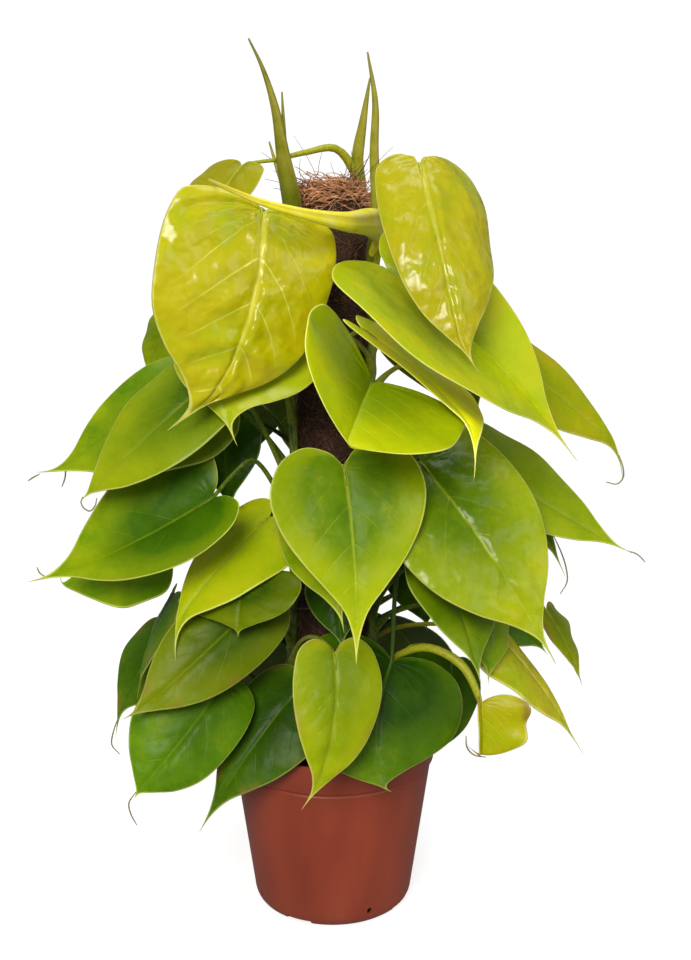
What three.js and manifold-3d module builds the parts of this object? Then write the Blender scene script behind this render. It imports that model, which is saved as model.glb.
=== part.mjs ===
// A neon heart-leaf philodendron trained up a coir pole in a 12 cm plastic nursery pot.
// Millimetres, +Z up. The origin is on the ground under the middle of the plant, and the
// side that faces the viewer is -Y. Four vines climb the pole; each leaf is a blade and its
// petiole grown as one piece, and its petiole meets the vine it grew from.
import * as THREE from "three";
import { mergeVertices } from "three/addons/utils/BufferGeometryUtils.js";
import Module from "manifold-3d";

const wasm = await Module();
wasm.setup();

// Driving dimensions
const GAP = 0.3; // clearance between separate pieces that touch
const POT = {
  height: 107,
  rim: 60, // outer radius of the rim band, at its foot
  rimFlare: 0.6, // how much wider the rim is at its lip
  rimWall: 1.6,
  band: 90, // height at which the rim band starts
  step: 0.8, // slope of the ledge under the band
  wallTop: 58.5, // outer radius of the wall, just under the band
  wallLow: 47.3, // outer radius where the wall meets the rounded corner
  corner: 9, // height of the rounded corner
  cornerBulge: 1.4, // how far the corner stands out beyond a straight bevel
  foot: 41, // outer radius of the foot ring
  footWidth: 6,
  recess: 2.5, // how far the floor is raised inside the foot ring
  wall: 1.2,
  segments: 40,
};
const NOTCH = { count: 4, width: 17, height: 3.6, turn: -27 }; // gaps in the foot ring
const DRAIN = { count: 4, width: 3, height: 4, depth: 12, level: 9.5, turn: 27 }; // corner holes
const SOIL = { top: 94, crown: 1.5, swell: 2.2, clear: 0.55, rings: [48, 40, 32, 24], segments: 24 };
const POLE = { radius: 20.3, shoulder: 414, top: 427, foot: 58, fibre: 0.7, rings: 18, segments: 18 };
const STAKE = { radius: 8, foot: 6, top: 409 };
const VINE = {
  radius: 3.1,
  tipRadius: 2.3,
  foot: 66,
  clearance: 1.3,
  lean: 9, // how much further from the pole a vine is at its foot, and how soon it closes in
  leanHeight: 38,
  wander: 7, // degrees that it swings round the pole, and over what height
  wanderHeight: 34,
  stations: 12,
  sides: 6,
  steps: 20,
};
const LEAF = {
  thickness: 0.9,
  slant: 0.15, // how far a row of the blade drops from the midrib out to the edge
  rows: 10,
  columns: 2, // in each half
  wave: 1.1, // of the edge, and its pace from notch to tip in radians
  wavePace: 13,
  hookFrom: 0.72,
};
const PETIOLE = {
  root: 2.3, // radius at the vine, along the stalk, at the notch and where it ends under the blade
  middle: 1.45,
  end: 1.1,
  rib: 0.6,
  leave: 0.16, // shares of its reach: how far it first runs out, rises, and comes in to the notch
  lift: 0.3,
  arrive: 0.28,
  depth: 0.6, // under the blade's middle surface at the notch and at its end
  endDepth: 0.7,
  endAlong: 0.09, // share of the blade's length at which it ends
  sides: 5,
  steps: 6,
};
const SPEAR = { sides: 6, steps: 9 };

const COLOUR = {
  pot: 0x9c4430,
  soil: 0x2a1c13,
  stake: 0xb89468,
  coir: 0x5a3722,
  vine: 0x6f8a2a,
  young: 0xc3c21a,
  middle: 0x9bb316,
  old: 0x5d8a16,
};

// Half of a leaf's outline, from the notch at the petiole round the lobe to the drip tip:
// across is a share of the half width, along a share of the length from notch to tip.
// A leaf lies between the slim and the full outline.
const LOBE = [
  [0, 0],
  [0.16, -0.075],
  [0.5, -0.11],
  [0.85, -0.04],
  [1, 0.12],
];
const SLIM = [
  [0.9, 0.29],
  [0.66, 0.45],
  [0.38, 0.59],
  [0.14, 0.72],
  [0.04, 0.86],
  [0, 1],
];
const FULL = [
  [1, 0.34],
  [0.9, 0.53],
  [0.64, 0.68],
  [0.3, 0.79],
  [0.05, 0.89],
  [0, 1],
];
const outlineOf = (lower) =>
  new THREE.SplineCurve(
    [...LOBE, ...lower].map(([across, along]) => new THREE.Vector2(across, along)),
  );
const OUTLINE = { slim: outlineOf(SLIM), full: outlineOf(FULL) };

const rad = THREE.MathUtils.degToRad;
const vec = (xyz) => new THREE.Vector3(...xyz);
const UP = new THREE.Vector3(0, 0, 1);
// The unit direction at an azimuth, 0 towards the viewer and 90 to the viewer's right.
const heading = (azimuth, elevation = 0) =>
  new THREE.Vector3(
    Math.sin(rad(azimuth)) * Math.cos(rad(elevation)),
    -Math.cos(rad(azimuth)) * Math.cos(rad(elevation)),
    Math.sin(rad(elevation)),
  );

// A closed geometry as a solid: shared corners are merged and collapsed faces dropped.
function solid(geometry) {
  const bare = new THREE.BufferGeometry();
  bare.setAttribute("position", geometry.getAttribute("position"));
  bare.setIndex(geometry.index);
  const merged = mergeVertices(bare, 1e-3);
  const faces = [];
  const index = merged.index.array;
  for (let i = 0; i < index.length; i += 3) {
    const [a, b, c] = [index[i], index[i + 1], index[i + 2]];
    if (a !== b && b !== c && c !== a) faces.push(a, b, c);
  }
  const build = (triVerts) =>
    new wasm.Manifold(
      new wasm.Mesh({
        numProp: 3,
        vertProperties: new Float32Array(merged.getAttribute("position").array),
        triVerts: new Uint32Array(triVerts),
      }),
    );
  const made = build(faces);
  return made.volume() > 0 ? made : build(faces.reverse());
}

// The largest body of a solid: a cut can leave a scrap on the far side of what cut it.
const largest = (made) =>
  made.decompose().reduce((kept, body) => (body.volume() > kept.volume() ? body : kept));

function meshOf(name, made, colour, roughness) {
  const { vertProperties, triVerts } = made.simplify(0.02).getMesh();
  const indexed = new THREE.BufferGeometry();
  indexed.setAttribute("position", new THREE.BufferAttribute(vertProperties, 3));
  indexed.setIndex(new THREE.BufferAttribute(triVerts, 1));
  const geometry = indexed.toNonIndexed();
  geometry.computeVertexNormals();
  const material = new THREE.MeshStandardMaterial({ color: colour, roughness, metalness: 0 });
  const mesh = new THREE.Mesh(geometry, material);
  mesh.name = name;
  return mesh;
}

// A lathe turned about Z from a closed or on-axis profile of [radius, height] corners.
function turned(profile, segments) {
  const points = profile.map(([radius, height]) => new THREE.Vector2(radius, height));
  return new THREE.LatheGeometry(points, segments).rotateX(Math.PI / 2);
}

// A closed round bar along a curve, made from a cylinder bent to it.
function bar(curve, radiusAt, sides, steps) {
  const geometry = new THREE.CylinderGeometry(1, 1, 1, sides, steps);
  const { normals, binormals } = curve.computeFrenetFrames(steps);
  const position = geometry.getAttribute("position");
  const point = new THREE.Vector3();
  for (let i = 0; i < position.count; i++) {
    const share = position.getY(i) + 0.5;
    const ring = Math.round(share * steps);
    const radius = radiusAt(share);
    curve.getPointAt(share, point);
    point.addScaledVector(normals[ring], position.getX(i) * radius);
    point.addScaledVector(binormals[ring], -position.getZ(i) * radius);
    position.setXYZ(i, point.x, point.y, point.z);
  }
  return solid(geometry);
}

// A radius that runs straight between [share along, radius] stations.
const tapered = (stations) => (share) => {
  const next = Math.max(1, stations.findIndex(([at]) => at >= share));
  const [from, start] = stations[next - 1];
  const [to, end] = stations[next];
  return THREE.MathUtils.mapLinear(share, from, to, start, end);
};

// Pot: a thin wall with a rim band, a rounded lower corner and a notched foot ring
const wallSlope = (POT.wallTop - POT.wallLow) / (POT.band - POT.corner);

function pot() {
  const { wall } = POT;
  const lip = POT.rim + POT.rimFlare;
  const cornerMid = [(POT.wallLow + POT.foot) / 2 + POT.cornerBulge, POT.corner * 0.3];
  const profile = [
    [0, POT.recess],
    [POT.foot - POT.footWidth, POT.recess],
    [POT.foot - POT.footWidth, 0],
    [POT.foot, 0],
    cornerMid,
    [POT.wallLow, POT.corner],
    [POT.wallTop, POT.band],
    [POT.rim, POT.band + POT.step],
    [lip, POT.height],
    [lip - POT.rimWall, POT.height],
    [POT.rim - POT.rimWall, POT.band + POT.step + wall],
    [POT.wallTop - wall, POT.band - 1],
    [POT.wallLow - wall, POT.corner],
    [cornerMid[0] - wall, POT.recess + wall * 2],
    [POT.foot - 2, POT.recess + wall],
    [0, POT.recess + wall],
  ];
  let made = solid(turned(profile, POT.segments));
  for (let i = 0; i < NOTCH.count; i++) {
    const gap = new THREE.BoxGeometry(NOTCH.width, POT.footWidth * 2, NOTCH.height * 2);
    const turn = NOTCH.turn + (360 / NOTCH.count) * i;
    gap.translate(0, -POT.foot + 0.5, 0).rotateZ(rad(turn));
    made = made.subtract(solid(gap));
  }
  for (let i = 0; i < DRAIN.count; i++) {
    const hole = new THREE.CylinderGeometry(DRAIN.width / 2, DRAIN.width / 2, DRAIN.depth, 8);
    const turn = DRAIN.turn + (360 / DRAIN.count) * i;
    hole.scale(1, 1, DRAIN.height / DRAIN.width);
    hole.translate(0, -POT.wallLow, DRAIN.level).rotateZ(rad(turn));
    made = made.subtract(solid(hole));
  }
  return made;
}

// Soil: fills the pot, with a lumpy top and plain holes for the pole and the vines
function soil(holes) {
  const inset = POT.wall + SOIL.clear;
  const radiusAt = (z) => POT.wallLow + wallSlope * (z - POT.corner) - inset;
  const floor = POT.recess + POT.wall + GAP;
  const rings = SOIL.rings.map((radius) => [radius, SOIL.top + SOIL.crown]);
  const profile = [
    [0, floor],
    [POT.foot - 3, floor],
    [radiusAt(POT.corner + 1), POT.corner + 1],
    [radiusAt(POT.band - 3), POT.band - 3],
    [radiusAt(POT.band - 3), SOIL.top - 1],
    ...rings,
    [0, SOIL.top + SOIL.crown],
  ];
  const geometry = turned(profile, SOIL.segments);
  const position = geometry.getAttribute("position");
  for (let i = 0; i < position.count; i++) {
    const [x, y, z] = [position.getX(i), position.getY(i), position.getZ(i)];
    if (z < SOIL.top) continue;
    const lump = Math.sin(x * 0.23 + 1) * Math.cos(y * 0.19) + 0.5 * Math.sin(x * 0.5 - y * 0.6);
    position.setZ(i, z + SOIL.swell * lump);
  }
  return holes.reduce((made, hole) => made.subtract(hole), solid(geometry));
}

// Pole: a wooden stake inside a sleeve of felted coir, whose top is a rounded mat of fibre
const stake = (grow = 0) =>
  solid(
    turned(
      [
        [0, STAKE.foot - grow],
        [STAKE.radius + grow, STAKE.foot - grow],
        [STAKE.radius + grow, STAKE.top],
        [0, STAKE.top],
      ],
      POLE.segments,
    ),
  );

// The sleeve's outside from its foot to the middle of its top
function coirSide(grow) {
  const side = [[POLE.radius + grow, POLE.foot - grow]];
  for (let ring = 1; ring <= POLE.rings; ring++) {
    const height = THREE.MathUtils.lerp(POLE.foot, POLE.shoulder, ring / POLE.rings);
    side.push([POLE.radius + grow, height]);
  }
  side.push([POLE.radius - 2.5 + grow, POLE.top - 6], [POLE.radius * 0.55, POLE.top - 1]);
  side.push([0, POLE.top + grow]);
  return side;
}

function coir() {
  const bore = STAKE.radius + GAP;
  const profile = [
    [bore, POLE.foot],
    ...coirSide(0),
    [0, STAKE.top + GAP],
    [bore, STAKE.top + GAP],
    [bore, POLE.foot],
  ];
  const geometry = turned(profile, POLE.segments);
  const position = geometry.getAttribute("position");
  for (let i = 0; i < position.count; i++) {
    const [x, y, z] = [position.getX(i), position.getY(i), position.getZ(i)];
    const radius = Math.hypot(x, y);
    if (radius < POLE.radius - 4 || z < SOIL.top) continue;
    const turn = Math.atan2(y, x);
    const tuft = Math.sin(3 * turn + z * 0.11) * Math.cos(5 * turn - z * 0.07);
    const scale = 1 + (POLE.fibre * tuft - POLE.fibre / 2) / radius;
    position.setXY(i, x * scale, y * scale);
  }
  return solid(geometry);
}

// The pole's outer shape grown by a clearance: what stands against it is cut back by this
const poleClearance = () =>
  solid(turned([[0, POLE.foot - GAP], ...coirSide(GAP)], POLE.segments));

// Vines: each climbs the pole at its own azimuth, swinging a little from side to side, and
// ends in one or two new leaves that are still rolled into spears.
const LEFT = {
  name: "vine_left",
  azimuth: -62,
  top: 398,
  spears: [
    {
      path: [
        [-19, -14, 392],
        [-21, -20, 412],
        [-25, -28, 436],
        [-29, -31, 462],
        [-35, -33, 482],
        [-42, -35, 497],
      ],
      radius: [[0, 2.6], [0.1, 5.2], [0.3, 4.6], [0.5, 3.2], [0.75, 1.7], [0.92, 0.8], [1, 0.5]],
    },
    {
      path: [
        [-23, -22, 424],
        [-24.5, -24, 440],
        [-25, -25, 456],
        [-25.6, -25, 471],
      ],
      radius: [[0, 2.4], [0.5, 1.3], [1, 0.45]],
    },
  ],
};
const RIGHT = {
  name: "vine_right",
  azimuth: 60,
  top: 388,
  spears: [
    {
      path: [
        [20.8, -12.4, 380],
        [23.4, -17, 396],
        [24, -20, 412],
        [22.6, -22, 440],
        [23, -24, 466],
        [19, -25, 491],
      ],
      radius: [[0, 2.6], [0.18, 3.4], [0.45, 2.6], [0.7, 2], [0.9, 1], [1, 0.5]],
    },
    {
      path: [
        [20.8, -12.4, 384],
        [27, -26, 398],
        [22, -46, 404],
        [6, -84, 407],
        [-14, -103, 412],
        [-34, -110, 418],
        [-57, -112, 428],
      ],
      radius: [[0, 2.4], [0.08, 3], [0.13, 7], [0.2, 7.8], [0.35, 6.6], [0.5, 4.8], [0.7, 2.5], [1, 0.6]],
    },
  ],
};
const BACK_RIGHT = {
  name: "vine_back_right",
  azimuth: 140,
  top: 410,
  spears: [
    {
      path: [
        [16, 19, 402],
        [15.5, 18.6, 420],
        [14, 18, 436],
        [17, 16, 456],
        [21, 15, 480],
      ],
      radius: [[0, 2.6], [0.25, 3.6], [0.55, 3], [0.8, 1.6], [1, 0.5]],
    },
  ],
};
const BACK_LEFT = {
  name: "vine_back_left",
  azimuth: -146,
  top: 372,
  spears: [
    {
      path: [
        [-13.5, 20, 364],
        [-16, 25, 384],
        [-22, 32, 408],
        [-31, 38, 430],
        [-36, 41, 446],
      ],
      radius: [[0, 2.6], [0.2, 4.6], [0.5, 3.2], [0.8, 1.4], [1, 0.5]],
    },
  ],
};
const VINES = [LEFT, RIGHT, BACK_RIGHT, BACK_LEFT];

// A vine's centre line: out at the soil, then close along the coir.
function vineCurve({ azimuth, top }) {
  const points = [];
  for (let i = 0; i <= VINE.stations; i++) {
    const z = THREE.MathUtils.lerp(VINE.foot, top, i / VINE.stations);
    const lean = VINE.lean * Math.exp(-(z - VINE.foot) / VINE.leanHeight);
    const wander = VINE.wander * Math.sin(z / VINE.wanderHeight + azimuth);
    const out = POLE.radius + VINE.radius + VINE.clearance + lean;
    points.push(heading(azimuth + wander).multiplyScalar(out).setZ(z));
  }
  return new THREE.CatmullRomCurve3(points);
}

function vine({ azimuth, top, spears }, grow = 0) {
  const radiusAt = (share) =>
    THREE.MathUtils.lerp(VINE.radius, VINE.tipRadius, share) + grow;
  let made = bar(vineCurve({ azimuth, top }), radiusAt, VINE.sides, VINE.steps);
  for (const { path, radius } of spears) {
    const curve = new THREE.CatmullRomCurve3(path.map(vec));
    const radiusOf = tapered(radius);
    made = made.add(bar(curve, (share) => radiusOf(share) + grow, SPEAR.sides, SPEAR.steps));
  }
  return made;
}

// The point on a vine at a height
function vinePoint(spec, height) {
  const curve = vineCurve(spec);
  return curve.getPoint((height - VINE.foot) / (spec.top - VINE.foot));
}

// Leaf blade: a surface from the notch (base) to the drip tip, bent and folded.
// arch is the turn of the midrib in degrees, faces the azimuth and elevation of its upper
// side, roll how far the edges fall away, fold the rise of each half, sweep the sideways bow
// of the midrib, skew the share by which one half is wider, full and lobe how the outline lies
// between slim and full and how deep its lobes are, and hook how far the drip tip is carried.
function blade(leaf) {
  const base = vec(leaf.base);
  const chord = vec(leaf.tip).sub(base);
  const length = chord.length();
  const ahead = chord.clone().normalize();
  const faces = heading(...leaf.faces);
  const normal = faces.addScaledVector(ahead, -faces.dot(ahead)).normalize();
  const side = new THREE.Vector3().crossVectors(ahead, normal);
  const arch = rad(leaf.arch ?? 25);
  const bend = length / (2 * Math.sin(arch / 2));
  const half = leaf.wide / 2;
  const fold = rad(leaf.fold ?? 0);
  const roll = leaf.roll ?? 4;
  const sweep = leaf.sweep ?? 0;
  const hook = vec(leaf.hook ?? [0, 0, 0]);

  // The frame of the midrib at a share of its length: place, tangent, side and normal
  function midrib(along) {
    const turn = (along - 0.5) * arch;
    const place = base.clone();
    place.addScaledVector(ahead, length / 2 + bend * Math.sin(turn));
    place.addScaledVector(normal, bend * (Math.cos(turn) - Math.cos(arch / 2)));
    place.addScaledVector(side, sweep * 4 * along * (1 - Math.max(along, 0)));
    const curl = Math.max(0, (along - LEAF.hookFrom) / (1 - LEAF.hookFrom)) ** 2;
    place.addScaledVector(hook, curl);
    const tangent = ahead.clone().multiplyScalar(Math.cos(turn));
    tangent.addScaledVector(normal, -Math.sin(turn));
    tangent.addScaledVector(side, (sweep * 4 * (1 - 2 * Math.max(along, 0))) / length);
    tangent.normalize();
    const up = normal.clone().multiplyScalar(Math.cos(turn));
    up.addScaledVector(ahead, Math.sin(turn));
    const across = new THREE.Vector3().crossVectors(tangent, up).normalize();
    up.crossVectors(across, tangent);
    return { place, tangent, across, up };
  }

  function at(across, along) {
    const frame = midrib(along);
    const share = Math.abs(across) / half;
    const phase = LEAF.wavePace * along + Math.sign(across) + leaf.wide;
    const wave = LEAF.wave * Math.sin(phase) * share ** 2;
    const rise = Math.abs(across) * Math.sin(fold) - roll * share ** 2 + wave;
    return frame.place
      .addScaledVector(frame.across, across * Math.cos(fold))
      .addScaledVector(frame.up, rise);
  }

  function solidBlade() {
    const rows = leaf.rows ?? (leaf.wide < 50 ? LEAF.rows - 2 : LEAF.rows);
    const geometry = new THREE.BoxGeometry(2, 1, 2, LEAF.columns * 2, rows, 1);
    const position = geometry.getAttribute("position");
    for (let i = 0; i < position.count; i++) {
      const column = position.getX(i);
      const edge = OUTLINE.slim.getPoint(position.getY(i) + 0.5);
      edge.lerp(OUTLINE.full.getPoint(position.getY(i) + 0.5), leaf.full ?? 0.4);
      if (edge.y < 0) edge.y *= leaf.lobe ?? 1;
      const inner = Math.max(0, edge.y - LEAF.slant * edge.x);
      const across = column * edge.x * half * (1 + Math.sign(column) * (leaf.skew ?? 0));
      const along = THREE.MathUtils.lerp(inner, edge.y, Math.abs(column));
      const step = 0.01;
      const here = at(across, along);
      const slopeAlong = at(across, along + step).sub(here);
      const slopeAcross = at(across + (across > 0 ? -step : step) * half, along).sub(here);
      const out = new THREE.Vector3().crossVectors(slopeAcross, slopeAlong).normalize();
      if (across > 0) out.negate();
      if (out.dot(midrib(along).up) < 0) out.negate();
      here.addScaledVector(out, (position.getZ(i) * LEAF.thickness) / 2);
      position.setXYZ(i, here.x, here.y, here.z);
    }
    return solid(geometry);
  }

  return { midrib, solidBlade };
}

// Leaf: the blade, and its petiole from the vine up and out to the notch
function leafSolid(leaf, cutters) {
  const { midrib, solidBlade } = blade(leaf);
  const root = vinePoint(leaf.vine, leaf.node);
  const start = midrib(0);
  const reach = start.place.distanceTo(root);
  const outward = start.place.clone().sub(root).setZ(0).normalize();
  const arrival = start.tangent.clone().add(start.up).normalize();
  const under = (along, depth) => {
    const frame = midrib(along);
    return frame.place.addScaledVector(frame.up, -depth);
  };
  const leave = root.clone().addScaledVector(outward, reach * PETIOLE.leave);
  leave.addScaledVector(UP, reach * PETIOLE.lift);
  const notch = under(0, PETIOLE.depth);
  const arrive = notch.clone().addScaledVector(arrival, -reach * PETIOLE.arrive);
  const way = leaf.via
    ? new THREE.CatmullRomCurve3([root, ...leaf.via.map(vec), notch])
    : new THREE.CubicBezierCurve3(root, leave, arrive, notch);
  const points = way.getPoints(PETIOLE.steps - 1);
  points.push(under(PETIOLE.endAlong, PETIOLE.endDepth));
  const radiusAt = tapered([
    [0, PETIOLE.root],
    [0.18, PETIOLE.middle],
    [0.85, PETIOLE.end],
    [1, PETIOLE.rib],
  ]);
  const steps = leaf.via ? PETIOLE.steps + 2 : PETIOLE.steps;
  let petiole = bar(new THREE.CatmullRomCurve3(points), radiusAt, PETIOLE.sides, steps);
  for (const cutter of cutters) petiole = petiole.subtract(cutter);
  return largest(solidBlade().add(petiole));
}

// Leaves that face the viewer, from the top down. Each has its age, the vine it grows from and
// the height of its node there, its base at the notch, the end of its drip tip, its width, and
// the azimuth and elevation that its upper side faces.
const grow = (name, age, vine, node, base, tip, wide, faces, shape = {}) => ({
  name: "leaf_" + name,
  age,
  vine,
  node,
  base,
  tip,
  wide,
  faces,
  ...shape,
});
const FRONT_LEAVES = [
  grow("top_left", "young", LEFT, 372, [-34, -77, 411], [-70, -90, 305], 89, [23, 19], {
    arch: 44, roll: 0, sweep: -2, full: 1, lobe: 0.52, skew: 0.05, hook: [-13, 2, -2],
  }),
  grow("top_back", "young", BACK_RIGHT, 405, [-46, -42, 434], [-65, -58, 374], 41, [-22, 48], {
    arch: 69, lobe: 0.54, skew: 0.28,
    via: [[13, 17, 426], [10, 12, 440], [-8, -2, 441], [-26, -24, 437]],
  }),
  grow("top_right", "young", RIGHT, 374, [44, -76, 435], [67, -116, 332], 57, [18, 16], {
    arch: 53, roll: 10, sweep: 5, full: 1, lobe: 0.62, skew: -0.18, hook: [5, 0, 5],
  }),
  grow("top_left_under", "middle", LEFT, 292, [-38, -56, 352], [-55, -86, 302], 78, [-9, 27], {
    arch: 36, sweep: 3, full: 0.9, skew: -0.04, hook: [8, 0, -8],
  }),
  grow("left_hidden", "old", BACK_LEFT, 318, [-88, -2, 352], [-105, -2, 318], 35, [-42, 18], {
    arch: 30, full: 1, rows: 7,
  }),
  grow("left_upper", "middle", LEFT, 262, [-69, -36, 317], [-157, -36, 261], 67, [-13, 35], {
    arch: 49, sweep: -1, skew: -0.15, hook: [-5, 0, 9],
  }),
  grow("left_upper_front", "middle", LEFT, 248, [-62, -57, 325], [-138, -64, 255], 58, [-29, 35], {
    arch: 36, sweep: -5, full: 0.7, skew: 0.07, hook: [6, 0, 6],
  }),
  grow("centre_upper", "middle", RIGHT, 296, [21, -84, 327], [5, -144, 299], 102, [47, 41], {
    arch: 10, fold: 22, roll: 0, sweep: 1, full: 1, lobe: 0.93, skew: 0.01, hook: [10, 16, 3],
  }),
  grow("right_slim", "young", RIGHT, 322, [17, -68, 352], [79, -120, 298], 46, [58, 51], {
    arch: 8, fold: 2, sweep: -7, full: 1, skew: -0.6, hook: [-9, 0, -14],
  }),
  grow("right_large", "middle", RIGHT, 348, [30, -62, 382], [125, -76, 287], 100, [29, 43], {
    arch: 30, fold: 23, roll: 0, sweep: 1, full: 0.6, skew: 0.37, hook: [3, 0, -3],
    via: [[26, -38, 366]],
  }),
  grow("right_upper", "old", RIGHT, 310, [91, -22, 336], [173, -10, 266], 48, [42, 30], {
    arch: 18, sweep: 1, hook: [-9, 0, -6],
  }),
  grow("right_mid", "middle", RIGHT, 256, [78, -30, 278], [170, -22, 219], 55, [30, 41], {
    arch: 9, sweep: 4, full: 0.6, skew: -0.22, hook: [-1, 0, 1],
  }),
  grow("right_behind", "old", BACK_RIGHT, 240, [96, -8, 262], [132, -10, 206], 40, [50, 30], {
    arch: 30, hook: [2, 0, -4],
  }),
  grow("centre_right", "middle", RIGHT, 238, [48, -50, 278], [116, -90, 181], 86, [14, 35], {
    arch: 41, roll: 2, sweep: 1, full: 0.8, skew: 0.01, hook: [2, 0, -2],
  }),
  grow("centre_heart", "middle", RIGHT, 250, [7, -76, 281], [13, -108, 185], 81, [5, 22], {
    arch: 15, roll: -2, sweep: -2, full: 0.11, lobe: 1.2, via: [[17, -40, 284]],
  }),
  grow("heart_behind", "middle", LEFT, 244, [-1, -54, 269], [7, -88, 195], 50, [-23, 19], {
    arch: 24, full: 0.59, skew: 0.45,
  }),
  grow("left_mid", "old", LEFT, 226, [-64, -60, 261], [-165, -48, 210], 72, [-16, 33], {
    arch: 8, fold: 21, sweep: -5, skew: 0.15, hook: [-2, 0, 1], via: [[-42, -29, 275]],
  }),
  grow("left_mid_under", "old", BACK_LEFT, 196, [-99, -20, 222], [-164, -18, 194], 51, [-51, 43], {
    arch: 14, skew: -0.3, hook: [10, 0, 11],
  }),
  grow("left_dark", "old", BACK_LEFT, 262, [-61, -8, 294], [-56, -20, 240], 44, [-20, 20], {
    arch: 24, rows: 7,
  }),
  grow("left_low_a", "middle", LEFT, 205, [-35, -34, 244], [-92, -68, 179], 54, [-32, 35], {
    arch: 33, skew: -0.1, hook: [8, 0, -7],
  }),
  grow("left_low_b", "middle", LEFT, 186, [-49, -56, 215], [-50, -70, 187], 72, [-22, 26], {
    arch: 38, sweep: -1, full: 0.8, skew: 0.07,
  }),
  grow("left_low_c", "middle", LEFT, 160, [-41, -46, 199], [-116, -78, 137], 51, [-9, 16], {
    arch: 30, sweep: -2, full: 0.7, skew: 0.01, hook: [3, 0, 6],
  }),
  grow("left_edge_a", "middle", BACK_LEFT, 168, [-91, -22, 194], [-112, -26, 134], 34, [-75, 20], {
    arch: 24,
  }),
  grow("left_edge_b", "old", BACK_LEFT, 140, [-96, -2, 164], [-128, -10, 110], 52, [-42, 24], {
    arch: 50, skew: -0.04, hook: [0, 0, -6],
  }),
  grow("left_low_d", "old", LEFT, 122, [-62, -52, 152], [-114, -80, 94], 58, [-3, 17], {
    arch: 42, sweep: -3, full: 1, skew: 0.13, hook: [7, 0, 4], via: [[-52, -27, 152]],
  }),
  grow("front_left_low", "old", LEFT, 120, [-20, -40, 145], [-74, -66, 71], 55, [-16, 32], {
    arch: 32, full: 0.29, skew: -0.07,
  }),
  grow("front_low", "middle", LEFT, 150, [2, -84, 182], [-13, -104, 103], 50, [19, 14], {
    arch: 40, sweep: -4, full: 0.58, lobe: 0.99, skew: -0.08, hook: [-3, 0, 0],
  }),
  grow("front_right_low", "old", RIGHT, 220, [33, -46, 164], [27, -80, 93], 92, [9, 28], {
    arch: 26, sweep: 6, full: 1, hook: [6, 0, 9], via: [[36, -26, 236], [35, -42, 205]],
  }),
  grow("right_low_dark", "old", RIGHT, 104, [69, -20, 154], [52, -42, 98], 57, [34, 20], {
    arch: 48, sweep: 1, full: 0.65, skew: 0.18, hook: [0, 0, 7],
  }),
  grow("right_hang", "middle", RIGHT, 180, [57, -58, 227], [79, -88, 165], 58, [36, 19], {
    arch: 30, skew: -0.19, hook: [0, 0, 2],
  }),
  grow("right_cup", "young", RIGHT, 140, [81, -70, 149], [81, -72, 113], 33, [34, 17], {
    arch: 32, fold: 38, roll: 0, sweep: 1, full: 1, skew: -0.54, hook: [-7, 0, 13],
    via: [[44, -48, 172], [66, -60, 174]],
  }),
  grow("right_low_a", "young", BACK_RIGHT, 146, [90, -26, 178], [142, -40, 106], 33, [62, 29], {
    arch: 32, sweep: 3, skew: 0.39, hook: [1, 0, 0],
  }),
  grow("right_low_b", "middle", RIGHT, 170, [86, -46, 190], [86, -57, 155], 28, [25, 14], {
    arch: 20, skew: -0.2,
  }),
  grow("right_low_back", "old", BACK_RIGHT, 160, [97, -7, 185], [125, -12, 156], 40, [10, 50], {
    arch: 24, via: [[46, 23, 176], [78, 16, 186]],
  }),
  grow("right_edge", "old", BACK_RIGHT, 170, [125, -4, 180], [145, -16, 138], 31, [52, 34], {
    arch: 28, sweep: 1, skew: -0.34, via: [[72, 16, 200], [112, 9, 194]],
  }),
  grow("heart_under", "old", LEFT, 118, [2, -34, 210], [6, -50, 170], 36, [-5, 30], {
    arch: 24, rows: 7,
  }),
  grow("right_dark", "old", BACK_RIGHT, 205, [49, 8, 226], [56, 10, 162], 46, [10, 5], {
    arch: 24, full: 1, rows: 7,
  }),
];

// Leaves on the far side, in tiers round the back from bottom to top. Each tier has its
// number of leaves, first azimuth, step between leaves, height of the notch, and ages.
const BACK_TIERS = [
  { count: 3, first: 136, step: 44, height: 156, age: "old" },
  { count: 3, first: 128, step: 48, height: 226, age: "old" },
  { count: 3, first: 132, step: 52, height: 290, age: "middle" },
  { count: 2, first: 128, step: 72, height: 352, age: "middle" },
  { count: 1, first: 172, step: 60, height: 408, age: "young" },
];

const FAR = {
  base: 54, // distance of the notch and of the tip from the middle of the plant
  tip: 112,
  baseOut: 18, // how much further out, and up, every second leaf of a tier stands
  tipOut: 22,
  up: 6,
  length: 84,
  wide: 72,
  droop: 40, // how far the node is below the notch
  elevation: 30,
  arch: 30,
};

// Each far leaf differs a little from its neighbours: a swing of its own about nothing.
const swing = (number, pace, reach) => reach * Math.sin(number * pace + 0.6);

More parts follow.
